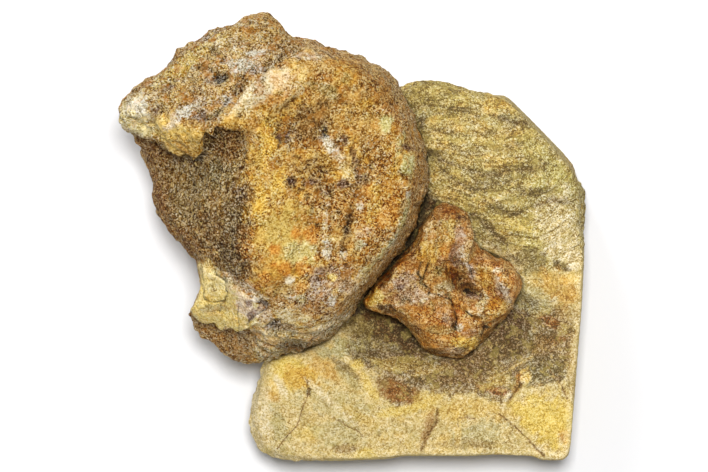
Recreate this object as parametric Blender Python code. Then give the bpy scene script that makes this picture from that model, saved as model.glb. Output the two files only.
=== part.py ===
"""Fossil hadrosaur vertebra with a smaller bone beside it, held in a trimmed block of sandstone.

The block lies on its sawn base at z = 0, with the vertebra's articular face looking up. +X runs from the
vertebra to the block, +Y from the block's sawn edge to the vertebra's broken neural arch. Places and sizes
below are millimetres in plan, measured from a datum near the middle; the finished pieces are then shifted
so that the origin is under the middle of the whole, at the base.
"""

import math

import bpy
import numpy as np
from mathutils import Vector, noise

MM = 0.001

# Driving heights above the base, in millimetres.
FACE_LEVEL = 94.0  # the vertebra's articular face
BLOCK_LEVEL = 42.0  # the sandstone's upper surface
SMALL_BONE_LEVEL = 60.0  # the crown of the smaller bone
HOLLOW_DEPTH = 14.0  # how far the sandstone is dug away below the smaller bone
SOCKET_GAP = 0.35  # clearance left between a bone and the sandstone that holds it

# Sampling of the surfaces before they are thinned out.
OUTLINE_STEP = 1.8
RING_COUNT = 36
VERTEBRA_TRIANGLES = 4000
BLOCK_TRIANGLES = 3200
SMALL_BONE_TRIANGLES = 1400

# The vertebra's outline seen from above: x, y, height of the widest point, reach of the wall above it.
VERTEBRA_CENTRE = (-25.0, 10.0)
VERTEBRA_OUTLINE = [
    # Broken neural arch, from the left tip round to the knob at the top.
    (-93.2, 48.4, 62, 5),
    (-92.6, 53.0, 62, 5),
    (-88.0, 56.3, 62, 6),
    (-83.5, 60.8, 61, 7),
    (-76.5, 64.8, 60, 7),
    (-73.4, 68.2, 60, 7),
    (-70.6, 72.6, 60, 7),
    (-67.2, 75.3, 60, 7),
    (-61.1, 78.0, 60, 7),
    (-56.0, 81.3, 60, 7),
    (-47.5, 84.0, 62, 7),
    (-42.0, 87.2, 64, 7),
    (-34.5, 88.5, 64, 7),
    (-31.2, 86.8, 62, 7),
    (-28.0, 82.0, 60, 7),
    (-25.5, 79.6, 58, 7),
    # Upper and right rim of the articular face, down into the groove beside the smaller bone.
    (-16.7, 77.3, 54, 8),
    (-3.5, 73.2, 52, 9),
    (5.6, 70.4, 50, 11),
    (12.2, 66.8, 47, 12),
    (16.5, 63.0, 44, 12),
    (20.2, 56.5, 39, 12),
    (23.2, 50.0, 39, 11),
    (28.7, 34.3, 38, 9),
    (29.8, 25.0, 38, 9),
    (28.0, 14.0, 36, 9),
    (24.5, 4.0, 30, 8),
    (20.0, -4.0, 26, 8),
    (14.0, -11.0, 25, 8),
    (9.0, -18.0, 25, 8),
    (4.0, -24.0, 25, 8),
    (0.0, -29.5, 27, 8),
    # Lower rim, where the wall curves down to the sandstone.
    (-3.7, -35.3, 32, 10),
    (-9.5, -40.6, 35, 11),
    (-17.0, -44.6, 37, 12),
    (-25.0, -47.4, 38, 12),
    (-32.0, -48.8, 39, 11),
    # Broken lower corner.
    (-38.3, -51.8, 40, 8),
    (-42.3, -53.9, 41, 7),
    (-49.4, -51.7, 42, 6),
    (-54.6, -46.8, 42, 6),
    (-63.8, -39.4, 43, 6),
    (-66.6, -34.0, 44, 5),
    (-66.5, -29.6, 48, 4),
    (-63.5, -26.3, 48, 4),
    (-61.5, -20.5, 48, 4),
    (-60.8, -15.5, 46, 4),
    (-62.6, -11.0, 44, 4),
    # Flank of the centrum.
    (-68.0, -4.8, 40, 5),
    (-75.2, 2.2, 38, 6),
    (-78.6, 7.0, 37, 6),
    (-80.8, 15.4, 37, 6),
    (-82.8, 26.0, 38, 6),
    (-85.2, 34.6, 42, 5),
    (-88.8, 40.2, 50, 4),
    (-92.3, 44.0, 58, 4),
]

# Heights on the vertebra's upper side: x, y, height over the face level.
VERTEBRA_LANDMARKS = [
    # Articular face, dished a little and leaning to the right.
    (-38.0, 40.0, 4.0),
    (-39.0, 20.0, 4.5),
    (-38.0, 0.0, 3.0),
    (-38.0, -14.0, -1.0),
    (-24.0, 48.0, 0.0),
    (-22.0, 26.0, -1.0),
    (-22.0, 2.0, -1.5),
    (-24.0, -18.0, -2.0),
    (-30.0, -30.0, -7.0),
    (-6.0, 40.0, -3.0),
    (-4.0, 18.0, -4.0),
    (-6.0, -6.0, -4.0),
    (-10.0, -26.0, -6.0),
    (-20.0, -36.0, -10.0),
    (10.0, 52.0, -5.0),
    (16.0, 34.0, -6.0),
    (18.0, 14.0, -7.0),
    (12.0, -4.0, -7.0),
    (0.0, -22.0, -8.0),
    (-22.0, 66.0, 2.0),
    (-6.0, 65.0, -1.0),
    # Ridge along the foot of the broken arch, and the arch falling away from it.
    (-34.0, 62.0, 5.0),
    (-46.0, 50.0, 5.5),
    (-52.0, 44.0, 4.0),
    (-62.0, 36.0, -4.0),
    (-75.0, 42.0, -12.0),
    (-88.0, 48.0, -20.0),
    (-60.0, 55.0, -4.0),
    (-74.0, 60.0, -15.0),
    (-50.0, 66.0, -3.0),
    (-62.0, 74.0, -16.0),
    (-38.0, 76.0, -8.0),
    (-37.0, 86.0, -16.0),
    (-22.0, 76.0, -9.0),
    # Flank, sloping down to the left.
    (-46.0, 30.0, 1.0),
    (-48.0, 8.0, -2.0),
    (-46.0, -12.0, -6.0),
    (-58.0, 26.0, -9.0),
    (-59.0, 8.0, -12.0),
    (-56.0, -8.0, -16.0),
    (-70.0, 28.0, -24.0),
    (-70.0, 12.0, -26.0),
    (-80.0, 38.0, -26.0),
    # Lower corner, with its yellow plate and broken end.
    (-52.0, -18.0, -19.0),
    (-58.0, -26.0, -27.0),
    (-46.0, -28.0, -19.0),
    (-62.0, -31.0, -31.0),
    (-48.0, -42.0, -36.0),
    (-38.0, -38.0, -20.0),
    (-58.0, -38.0, -40.0),
    (-40.0, -48.0, -38.0),
]

# The flank's spongy bone lies lower than the arch and the face, below this ragged edge.
FLANK_ZONE = [
    (-92, 41), (-86, 39.5), (-80, 37), (-73, 33.5), (-66, 31), (-62, 30), (-59, 32), (-56, 37), (-53, 41.5),
    (-50, 42), (-47, 40), (-42, 40.5), (-40.5, 32), (-41, 22), (-40.5, 8), (-40, -6), (-42, -15), (-50, -14),
    (-60, -9), (-75, -5), (-95, 20),
]
FLANK_EDGE = FLANK_ZONE[:12]
FLANK_DROP = 6.5
FLANK_REACH = 13.0

# The lower corner's broken end lies below the edge of its yellow plate.
CORNER_ZONE = [
    (-70, -30), (-66, -30.5), (-60, -33), (-54, -36), (-49, -37.5), (-42, -38), (-38, -37), (-34, -44),
    (-40, -58), (-60, -58), (-75, -40),
]
CORNER_EDGE = CORNER_ZONE[:7]
CORNER_DROP = 5.0
CORNER_REACH = 10.0

# The centrum's far end stands on the base: an oval rim, chipped at the left, below a narrower waist.
FAR_END_CENTRE = (-30.0, 14.0)
FAR_END_RADII = (46.0, 51.0)
WAIST_HEIGHT = 28.0
WAIST_SHARE = 0.9
FAR_RIM_HEIGHT = 9.0
FAR_FOOT_SHARE = 0.95
CHIP_BEARING = math.radians(152)
CHIP_WIDTH = math.radians(20)
CHIP_SHARE = 0.11
OVERHANG = 2.0  # least that the upper end stands out over the far end
WALL_LUMPS = 1.5

# The smaller bone's outline, in the same form as the vertebra's.
SMALL_BONE_CENTRE = (38.0, -20.0)
SMALL_BONE_OUTLINE = [
    # Rounded head at the top.
    (37.0, 13.3, 48, 6),
    (33.0, 12.0, 46, 6),
    (29.5, 8.0, 42, 6),
    (26.5, 2.0, 40, 6),
    (22.5, -5.0, 38, 6),
    # Long edge beside the vertebra, out to the left tip.
    (18.0, -10.0, 38, 5),
    (12.5, -15.5, 38, 5),
    (7.5, -21.0, 38, 5),
    (3.8, -26.5, 38, 4),
    (4.5, -29.8, 38, 4),
    (11.0, -31.0, 38, 4),
    # Lower edge over the hollow.
    (17.0, -32.5, 38, 5),
    (20.5, -35.0, 37, 5),
    (24.0, -39.5, 36, 5),
    (27.0, -44.0, 35, 5),
    (30.5, -47.5, 34, 6),
    (37.0, -49.0, 33, 7),
    (44.5, -49.5, 33, 7),
    (49.5, -46.5, 33, 7),
    (53.0, -41.0, 34, 6),
    (58.0, -36.0, 36, 6),
    # Right lobe.
    (62.0, -31.0, 38, 6),
    (66.0, -25.0, 40, 6),
    (67.8, -19.5, 42, 6),
    (66.5, -15.0, 43, 6),
    (62.5, -11.0, 44, 6),
    (55.0, -7.5, 45, 5),
    (50.5, -5.5, 46, 5),
    (47.0, -1.5, 46, 5),
    (45.5, 2.5, 47, 4),
    (46.8, 6.5, 48, 5),
    (43.0, 10.8, 48, 6),
]
SMALL_BONE_FOOT_SHARE = 0.62
SMALL_BONE_FOOT_HEIGHT = 17.0

# Heights on the smaller bone: x, y, height over its crown level.
SMALL_BONE_LANDMARKS = [
    (39.0, 8.0, 0.5),
    (38.0, 0.0, 1.5),
    (36.0, -8.0, 1.0),
    (30.0, -4.0, -4.0),
    (27.0, -10.0, -3.0),
    (20.0, -15.0, -2.0),
    (12.0, -22.0, -5.0),
    (7.0, -27.5, -9.0),
    (25.0, -22.0, -2.0),
    (30.0, -30.0, -2.0),
    (22.0, -31.0, -6.0),
    (34.0, -17.0, -2.5),
    (43.0, -13.0, -3.5),
    (46.5, -21.5, -7.5),
    (50.0, -27.0, -4.5),
    (49.0, -9.0, -3.0),
    (56.0, -14.0, 0.0),
    (59.0, -20.0, 0.5),
    (60.0, -27.0, -3.0),
    (52.0, -35.0, -6.0),
    (41.0, -28.0, -5.0),
    (40.0, -34.0, -6.5),
    (34.0, -38.0, -5.0),
    (44.0, -42.0, -8.0),
    (37.0, -46.0, -12.0),
]

# The block's outline: x, y, height of the upper edge's foot, reach of the rounding, flare of the foot.
BLOCK_CENTRE = (35.0, -22.0)
BLOCK_OUTLINE = [
    # Natural upper edge.
    (12.0, 57.0, 24, 6, -4),
    (19.6, 60.9, 26, 6, -3),
    (25.5, 63.3, 27, 6, -2),
    (31.5, 62.6, 28, 5, -2),
    (35.5, 62.9, 28, 5, -1),
    (41.0, 61.2, 29, 4, 0),
    (48.5, 58.2, 30, 3, 1),
    (57.0, 57.4, 32, 2, 1.5),
    # Sawn slanting edge.
    (62.4, 55.1, 34, 1.2, 3.7),
    (71.3, 46.0, 34, 1.2, 3.8),
    (79.4, 37.5, 34, 1.2, 3.8),
    (88.5, 27.5, 30, 1.5, 4),
    # Bulging natural corner.
    (91.2, 23.0, 26, 3, 2),
    (93.8, 17.0, 23, 5, 1),
    (94.4, 9.0, 23, 5, 0.5),
    (93.2, 4.0, 24, 5, 0),
    (93.7, -3.0, 28, 3, 0),
    # Sawn right edge.
    (93.3, -10.0, 33, 1.5, 0),
    (92.2, -30.0, 34, 1.2, 0),
    (90.2, -55.0, 34, 1.2, 0),
    (87.8, -86.0, 33, 1.5, 0),
    # Sawn lower edge, with a chip at its right end.
    (87.0, -89.4, 33, 1.8, 0),
    (84.8, -91.2, 32, 1.8, 0),
    (75.8, -91.0, 32, 1.8, 0),
    (73.0, -89.3, 33, 1.2, 0),
    (58.0, -88.7, 33, 1.2, 0),
    (46.0, -89.3, 33, 1.2, 0),
    (20.0, -89.2, 33, 1.2, 0),
    (13.0, -90.6, 32, 2, 0),
    (-8.0, -91.4, 31, 2.5, -1),
    (-26.0, -91.0, 30, 3, -2),
    # Natural rounded left edge.
    (-32.5, -90.2, 28, 4, -2),
    (-37.2, -88.2, 26, 5, -3),
    (-40.6, -84.0, 24, 6, -3),
    (-42.8, -75.0, 24, 6, -3),
    (-41.5, -67.5, 25, 6, -3),
    (-38.6, -59.5, 27, 5, -3),
    (-37.0, -53.0, 28, 4, -3),
    # Hidden edge, inside the vertebra.
    (-33.0, -40.0, 28, 3, 0),
    (-24.0, -20.0, 28, 3, 0),
    (-12.0, 8.0, 28, 3, 0),
    (2.0, 38.0, 28, 3, 0),
]

# Heights on the block: x, y, height over the block level.
BLOCK_LANDMARKS = [
    # Laminated upper right part.
    (16.0, 56.0, 0.0),
    (27.0, 60.0, 0.0),
    (40.0, 59.0, -0.5),
    (60.0, 55.0, -2.0),
    (30.0, 44.0, 4.5),
    (34.0, 28.0, 5.0),
    (50.0, 42.0, 4.0),
    (54.0, 24.0, 5.0),
    (70.0, 38.0, 1.0),
    (76.0, 22.0, 2.0),
    (86.0, 26.0, -4.0),
    (88.0, 10.0, -3.0),
    (70.0, 6.0, 4.0),
    (36.0, 17.0, 5.0),
    (52.0, 6.0, 5.0),
    (66.0, -6.0, 4.0),
    (84.0, -8.0, 0.0),
    (74.0, -18.0, 2.0),
    (88.0, -28.0, -2.0),
    (74.0, -30.0, -2.0),
    # Hollow below the smaller bone, and the groove between the bones.
    (26.0, 8.0, 0.0),
    (20.0, -8.0, -10.0),
    (8.0, -26.0, -HOLLOW_DEPTH),
    (8.0, -36.0, -HOLLOW_DEPTH),
    (20.0, -42.0, -HOLLOW_DEPTH),
    (33.0, -50.0, -9.0),
    (46.0, -51.0, -9.0),
    (58.0, -42.0, -10.0),
    (66.0, -36.0, -8.0),
    (72.0, -44.0, -7.0),
    (60.0, -52.0, -7.0),
    # Shelf along the lower edge.
    (-2.0, -42.0, -6.0),
    (-12.0, -50.0, 0.0),
    (-26.0, -54.0, 1.5),
    (-34.0, -62.0, -1.0),
    (2.0, -52.0, -4.0),
    (18.0, -54.0, -5.5),
    (-36.0, -78.0, -5.0),
    (-20.0, -70.0, 0.5),
    (-22.0, -86.0, -3.0),
    (2.0, -66.0, -1.0),
    (8.0, -86.0, -3.0),
    (26.0, -68.0, -2.0),
    (34.0, -86.0, -4.0),
    (46.0, -66.0, -3.0),
    (60.0, -72.0, -3.0),
    (62.0, -86.0, -4.5),
    (76.0, -56.0, -4.0),
    (80.0, -72.0, -4.0),
    (84.0, -87.0, -5.5),
    (88.0, -50.0, -4.5),
]
# Layers standing a little proud of the laminated surface: lines in plan, half width and height.
BLOCK_LAYERS = [
    ([(30, 34), (44, 33), (58, 28), (74, 26), (88, 25)], 2.2, 0.9),
    ([(32, 24), (46, 20), (60, 17), (76, 20), (90, 18)], 2.4, 1.1),
    ([(48, 12), (60, 6), (72, 2), (86, 4)], 2.4, 1.2),
    ([(50, 2), (62, -4), (74, -10), (84, -14)], 2.4, -1.2),
    ([(30, 52), (46, 50), (62, 48), (72, 46)], 2.0, 0.8),
    ([(-34, -58), (-28, -70), (-30, -84)], 3.0, 1.0),
    ([(4, -58), (16, -66), (28, -66), (44, -62), (62, -64)], 2.2, 1.2),
    ([(66, -60), (76, -70), (86, -82)], 1.8, -1.0),
]


def surface_through(landmarks, relax=0.02):
    """A smooth height over plan points: the thin-plate spline through landmarks of x, y, height."""
    marks = np.array(landmarks, float)
    count = len(marks)

    def terms(points):
        square = ((points[:, None] - marks[:, :2]) ** 2).sum(2)
        return np.hstack([square * np.log(square + 1e-9), np.ones((len(points), 1)), points])

    system = np.zeros((count + 3, count + 3))
    system[:count] = terms(marks[:, :2])
    system[:count, :count] += relax * np.eye(count) * 100
    system[count:, :count] = system[:count, count:].T
    weights = np.linalg.solve(system, np.append(marks[:, 2], np.zeros(3)))
    return lambda points: terms(points) @ weights


def distance_to_line(points, line, closed=False):
    """Plan distance from each point to a line of straight runs."""
    starts = np.array(line, float)
    ends = np.roll(starts, -1, axis=0)
    if not closed:
        starts, ends = starts[:-1], ends[:-1]
    run = ends - starts
    offset = points[:, None] - starts
    along = np.clip((offset * run).sum(2) / (run**2).sum(1), 0, 1)
    return np.linalg.norm(offset - along[..., None] * run, axis=2).min(1)


def inside_zone(points, zone):
    """Whether each plan point lies inside a closed zone."""
    corners = np.array(zone, float)
    nexts = np.roll(corners, -1, axis=0)
    x, y = points[:, :1], points[:, 1:]
    spans = (corners[:, 1] > y) != (nexts[:, 1] > y)
    rise = nexts[:, 1] - corners[:, 1]
    rise[rise == 0] = 1e-9
    cross = corners[:, 0] + (y - corners[:, 1]) / rise * (nexts[:, 0] - corners[:, 0])
    return (spans & (x < cross)).sum(1) % 2 == 1


def ease(values):
    """A smooth 0 to 1 step."""
    part = np.clip(values, 0, 1)
    return part * part * (3 - 2 * part)


def recess(points, zone, edge, drop, reach, bank=1.6):
    """Height change of a zone that lies lower than its edge and rises again further from it."""
    depth = ease(0.5 + np.where(inside_zone(points, zone), 1, -1) * distance_to_line(points, zone, True) / bank)
    return -drop * depth * np.exp(-((distance_to_line(points, edge) / reach) ** 2))


def ridge(points, line, half_width, height):
    """Height change of a rounded ridge along a line, or of a groove where height is negative."""
    return height * np.exp(-((distance_to_line(points, line) / half_width) ** 2))


def rough(points, size, seed):
    """Lumpy variation between about -1 and 1, with lumps of the given size."""
    return np.array([noise.fractal(Vector(p) / size + Vector((seed, 0, 0)), 0.8, 2.1, 3) for p in points])


def even_outline(rows, step):
    """The outline's rows, resampled at about equal distances round it and slightly rounded."""
    rows = np.array(rows, float)
    closed = np.vstack([rows, rows[:1]])
    along = np.append(0, np.cumsum(np.linalg.norm(np.diff(closed[:, :2], axis=0), axis=1)))
    places = np.linspace(0, along[-1], round(along[-1] / step), endpoint=False)
    even = np.column_stack([np.interp(places, along, column) for column in closed.T])
    return (np.roll(even, 1, axis=0) + 4 * even + np.roll(even, -1, axis=0)) / 6


def cast(outline, centre, polygon):
    """How far each spoke from the centre runs through an outline point before it meets a polygon."""
    spokes = outline[:, :2] - centre
    spokes /= np.linalg.norm(spokes, axis=1)[:, None]
    starts = np.array(polygon, float) - centre
    run = np.roll(starts, -1, axis=0) - starts
    across = spokes[:, :1] * run[:, 1] - spokes[:, 1:] * run[:, 0]
    across[np.abs(across) < 1e-12] = 1e-12
    reach = (starts[:, 0] * run[:, 1] - starts[:, 1] * run[:, 0]) / across
    share = (starts[:, 0] * spokes[:, 1:] - starts[:, 1] * spokes[:, :1]) / across
    reach[(share < -1e-6) | (share > 1 + 1e-6) | (reach < 0)] = 0
    return reach.max(1)


def upper_rings(outline, centre, height_of):
    """Rings from the outline in to the centre: a rounded wall at the edge, then the height over plan points."""
    spokes = outline[:, :2] - centre
    length = np.linalg.norm(spokes, axis=1)
    edge, reach = outline[:, 2], outline[:, 3]
    rings = []
    wall_share = 1 - np.cos(np.linspace(0, math.pi / 2, 7))
    inner_share = np.linspace(0, 1, RING_COUNT + 1)[1:-1]
    for share in wall_share:
        rings.append(share * reach)
    for share in inner_share:
        rings.append(reach + share * (length - reach))
    made = []
    for inward in rings:
        plan = centre + spokes * ((length - inward) / length)[:, None]
        rise = np.clip(inward / reach, 0, 1)
        rounding = np.sqrt(1 - (1 - rise) ** 2)
        made.append(np.column_stack([plan, edge + (height_of(plan) - edge) * rounding]))
    return made


def solid_from_rings(name, rings, top_centre, base_centre):
    """A closed mesh from rings of points, lowest first, closed by a fan at each end."""
    count = len(rings[0])
    points = np.vstack([base_centre, *rings, top_centre]) * MM
    top = len(points) - 1
    faces = []
    for k in range(len(rings) - 1):
        for i in range(count):
            j = (i + 1) % count
            low, high = 1 + k * count, 1 + (k + 1) * count
            faces.append((low + i, low + j, high + j, high + i))
    for i in range(count):
        j = (i + 1) % count
        last = 1 + (len(rings) - 1) * count
        faces.append((0, 1 + j, 1 + i))
        faces.append((last + i, last + j, top))
    mesh = bpy.data.meshes.new(name)
    mesh.from_pydata([tuple(p) for p in points], [], faces)
    obj = bpy.data.objects.new(name, mesh)
    bpy.context.scene.collection.objects.link(obj)
    return obj


def turned_the_same_way(rows):
    """The rows with the outline running anticlockwise, so that faces point outwards."""
    x, y = np.array(rows, float)[:, :2].T
    area = (x * np.roll(y, -1) - y * np.roll(x, -1)).sum()
    return rows if area > 0 else rows[::-1]


def baked(obj, mesh):
    """Puts a finished mesh on an object in place of its own and its modifiers."""
    obj.modifiers.clear()
    obj.data = mesh
    return obj


def thinned(obj, triangles):
    """The object with its mesh collapsed to about this many triangles, its base kept flat."""
    obj.data.calc_loop_triangles()
    modifier = obj.modifiers.new("thin", "DECIMATE")
    modifier.ratio = min(1.0, triangles / len(obj.data.loop_triangles))
    modifier.use_collapse_triangulate = True
    graph = bpy.context.evaluated_depsgraph_get()
    mesh = bpy.data.meshes.new_from_object(obj.evaluated_get(graph))
    for vertex in mesh.vertices:
        if vertex.co.z < 0.2 * MM:
            vertex.co.z = 0.0
    return baked(obj, mesh)


def grown(obj, gap):
    """A hidden copy of a solid, each vertex moved out by the gap, for cutting its socket."""
    copy = bpy.data.objects.new(obj.name + "_cutter", obj.data.copy())
    bpy.context.scene.collection.objects.link(copy)
    copy.hide_render = True
    copy.display_type = "WIRE"
    moved = [vertex.co + vertex.normal * gap * MM for vertex in copy.data.vertices]
    for vertex, place in zip(copy.data.vertices, moved):
        vertex.co = place
        if vertex.co.z < 0.5 * MM:
            vertex.co.z = -4 * MM
    return copy


def cut_socket(block, bone):
    """Cuts the bone's socket out of the block, a gap wider than the bone."""
    cutter = grown(bone, SOCKET_GAP)
    modifier = block.modifiers.new(bone.name + "_socket", "BOOLEAN")
    modifier.operation = "DIFFERENCE"
    modifier.solver = "EXACT"
    modifier.object = cutter
    graph = bpy.context.evaluated_depsgraph_get()
    mesh = bpy.data.meshes.new_from_object(block.evaluated_get(graph))
    bpy.data.objects.remove(cutter)
    return baked(block, mesh)


def material(name, colour, roughness):
    """A Principled material for the piece's main colour."""
    made = bpy.data.materials.new(name)
    made.use_nodes = True
    shader = made.node_tree.nodes["Principled BSDF"]
    shader.inputs["Base Color"].default_value = (*colour, 1.0)
    shader.inputs["Roughness"].default_value = roughness
    shader.inputs["Metallic"].default_value = 0.0
    return made


def vertebra_height(points):
    """Height of the vertebra's upper side over plan points."""
    lumps = np.column_stack([points, np.zeros(len(points))])
    broken = ease((points[:, 1] - points[:, 0] * 0.9 - 84) / 14)
    height = FACE_LEVEL + surface_through(VERTEBRA_LANDMARKS)(points)
    height += recess(points, FLANK_ZONE, FLANK_EDGE, FLANK_DROP, FLANK_REACH)
    height += recess(points, CORNER_ZONE, CORNER_EDGE, CORNER_DROP, CORNER_REACH)
    height += rough(lumps, 9.0, 3.0) * (0.7 + 1.3 * broken)
    return height


def vertebra():
    """The vertebra: a centrum standing on its far end, with the broken arch and corner at its upper end."""
    centre = np.array(VERTEBRA_CENTRE)
    outline = even_outline(turned_the_same_way(VERTEBRA_OUTLINE), OUTLINE_STEP)
    turn = np.linspace(0, 2 * math.pi, 72, endpoint=False)
    oval = np.column_stack([np.cos(turn), np.sin(turn)]) * FAR_END_RADII + FAR_END_CENTRE
    widest = np.linalg.norm(outline[:, :2] - centre, axis=1)
    spokes = (outline[:, :2] - centre) / widest[:, None]
    bearing = np.arctan2(spokes[:, 1], spokes[:, 0])
    chip = CHIP_SHARE * np.exp(-(((bearing - CHIP_BEARING) / CHIP_WIDTH) ** 2))
    far_rim = np.minimum(cast(outline, centre, oval) * (1 - chip), widest - OVERHANG)
    stations = [
        (far_rim * FAR_FOOT_SHARE, np.zeros(len(outline))),
        (far_rim, np.full(len(outline), FAR_RIM_HEIGHT)),
        (far_rim * WAIST_SHARE, np.full(len(outline), WAIST_HEIGHT)),
        (widest, outline[:, 2]),
    ]
    rings = []
    for (reach, level), (next_reach, next_level), steps in zip(stations, stations[1:], (3, 4, 6)):
        for step in range(steps):
            share = step / steps
            swing = ease(np.array(share))
            radius = reach + (next_reach - reach) * swing
            ring = np.column_stack([centre + spokes * radius[:, None], level + (next_level - level) * share])
            fade = 1 - (ring[:, 2:] / outline[:, 2:3]) ** 3
            ring[:, :2] += spokes * rough(ring, 13.0, 41.0)[:, None] * fade * WALL_LUMPS
            rings.append(ring)
    rings += upper_rings(outline, centre, vertebra_height)
    top = np.append(centre, vertebra_height(centre[None]))
    obj = solid_from_rings("vertebra", rings, top, np.append(centre, 0))
    obj.data.materials.append(material("fossil_bone", (0.46, 0.27, 0.10), 0.8))
    return thinned(obj, VERTEBRA_TRIANGLES)


def small_bone_height(points):
    """Height of the smaller bone's upper side over plan points."""
    lumps = np.column_stack([points, np.zeros(len(points))])
    return SMALL_BONE_LEVEL + surface_through(SMALL_BONE_LANDMARKS)(points) + rough(lumps, 7.0, 11.0) * 0.5


def small_bone():
    """The smaller bone beside the vertebra: a head, a tip and a lobe, tapering down into the block."""
    centre = np.array(SMALL_BONE_CENTRE)
    outline = even_outline(turned_the_same_way(SMALL_BONE_OUTLINE), OUTLINE_STEP)
    spokes = outline[:, :2] - centre
    rings = []
    for share in np.linspace(0, 1, 6)[:-1]:
        width = SMALL_BONE_FOOT_SHARE + (1 - SMALL_BONE_FOOT_SHARE) * math.sin(share * math.pi / 2)
        level = SMALL_BONE_FOOT_HEIGHT + (outline[:, 2] - SMALL_BONE_FOOT_HEIGHT) * share
        rings.append(np.column_stack([centre + spokes * width, level]))
    rings += upper_rings(outline, centre, small_bone_height)
    top = np.append(centre, small_bone_height(centre[None]))
    obj = solid_from_rings("small_bone", rings, top, np.append(centre, SMALL_BONE_FOOT_HEIGHT))
    obj.data.materials.append(material("small_fossil_bone", (0.42, 0.22, 0.09), 0.65))
    return thinned(obj, SMALL_BONE_TRIANGLES)


def block_height(points):
    """Height of the block's upper side over plan points."""
    lumps = np.column_stack([points, np.zeros(len(points))])
    height = BLOCK_LEVEL + surface_through(BLOCK_LANDMARKS)(points)
    for line, half_width, rise in BLOCK_LAYERS:
        height += ridge(points, line, half_width, rise)
    return height + rough(lumps, 11.0, 23.0) * 0.8


def block():
    """The sandstone block: sawn on its base and on three sides, natural elsewhere."""
    centre = np.array(BLOCK_CENTRE)
    outline = even_outline(turned_the_same_way(BLOCK_OUTLINE), OUTLINE_STEP)
    widest = np.linalg.norm(outline[:, :2] - centre, axis=1)
    spokes = (outline[:, :2] - centre) / widest[:, None]
    rings = []
    natural = ease((outline[:, 3] - 1.5) / 2.5)
    for share in (0, 0.2, 0.4, 0.6, 0.8):
        radius = widest + outline[:, 4] * (1 - share)
        ring = np.column_stack([centre + spokes * radius[:, None], outline[:, 2] * share])
        ring[:, :2] += spokes * (rough(ring, 12.0, 57.0) * WALL_LUMPS * natural * (1 - share))[:, None]
        rings.append(ring)
    rings += upper_rings(outline, centre, block_height)
    top = np.append(centre, block_height(centre[None]))
    obj = solid_from_rings("sandstone_block", rings, top, np.append(centre, 0))
    obj.data.materials.append(material("sandstone", (0.55, 0.47, 0.24), 0.9))
    return thinned(obj, BLOCK_TRIANGLES)


def centre_over_origin(pieces):
    """Shifts the pieces so that the origin is under the middle of their common box."""
    places = np.array([vertex.co for piece in pieces for vertex in piece.data.vertices])
    low, high = places.min(0), places.max(0)
    middle = np.round((low + high) / 2 / MM, 1) * MM
    shift = Vector((-middle[0], -middle[1], 0))
    for piece in pieces:
        for vertex in piece.data.vertices:
            vertex.co += shift
    print("datum in the finished frame, mm:", [round(v / MM, 3) for v in shift])


def main():
    for obj in list(bpy.data.objects):
        bpy.data.objects.remove(obj, do_unlink=True)
    bone = vertebra()
    fragment = small_bone()
    stone = block()
    cut_socket(stone, bone)
    cut_socket(stone, fragment)
    pieces = [bone, fragment, stone]
    centre_over_origin(pieces)
    for piece in pieces:
        piece.data.shade_smooth()
        piece.data.set_sharp_from_angle(angle=math.radians(40))


main()
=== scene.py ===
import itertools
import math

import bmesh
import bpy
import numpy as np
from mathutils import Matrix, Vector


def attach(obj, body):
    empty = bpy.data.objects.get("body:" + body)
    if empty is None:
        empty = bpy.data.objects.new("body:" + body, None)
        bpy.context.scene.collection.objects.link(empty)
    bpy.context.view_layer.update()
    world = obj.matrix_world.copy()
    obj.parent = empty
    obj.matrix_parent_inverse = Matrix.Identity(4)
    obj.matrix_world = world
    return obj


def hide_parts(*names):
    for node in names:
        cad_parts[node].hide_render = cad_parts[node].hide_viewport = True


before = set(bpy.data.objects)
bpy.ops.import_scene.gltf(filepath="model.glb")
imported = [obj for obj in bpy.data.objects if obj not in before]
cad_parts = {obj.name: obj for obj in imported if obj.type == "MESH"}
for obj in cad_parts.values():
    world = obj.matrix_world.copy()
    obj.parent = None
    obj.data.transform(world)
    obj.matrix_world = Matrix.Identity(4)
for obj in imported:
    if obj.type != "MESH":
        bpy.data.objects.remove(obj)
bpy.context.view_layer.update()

# The looks of a fossil vertebra and a smaller bone in their block of sandstone.
#
# Each CAD node gives its form to a finely meshed piece of its own: lumps, pores, cracks, broken edges and
# layers are modelled into that mesh, and its colour is painted by code, patch by patch, before the shader
# adds the finest grain. Places and sizes are millimetres in plan, from the same datum as the CAD outlines.

MM = 0.001
DATUM = np.array([-1.0, 1.5, 0.0])  # where the outlines' datum lies in the finished frame, in millimetres

VERTEBRA_MESH = 0.95  # size of the fine faces, in millimetres
SMALL_BONE_MESH = 0.6
BLOCK_MESH = 0.92
GRAIN_HEIGHT = 0.25 * MM
ROUGHNESS_SPREAD = 0.1  # how far the roughness strays to either side
SOLID_SPONGE = 0.1  # how spongy a surface is where nothing else is said
PATCH_GAIN = 1.2  # times each patch's strength
BASE_BAND = 2.5  # height above the base, in millimetres, in which the relief fades out
WELD_DISTANCE = 0.01 * MM
SHARP_REACH = 4.0  # how near a sharp edge the CAD's form is kept, in millimetres
CRISP_ROUNDS = 2  # how often the faces beside cracks are split
ALONG_BEDS = 0.06  # how far noise is drawn out along the beds
FACE_FOOT = 62  # height at which the vertebra's articular face begins, in millimetres

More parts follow.
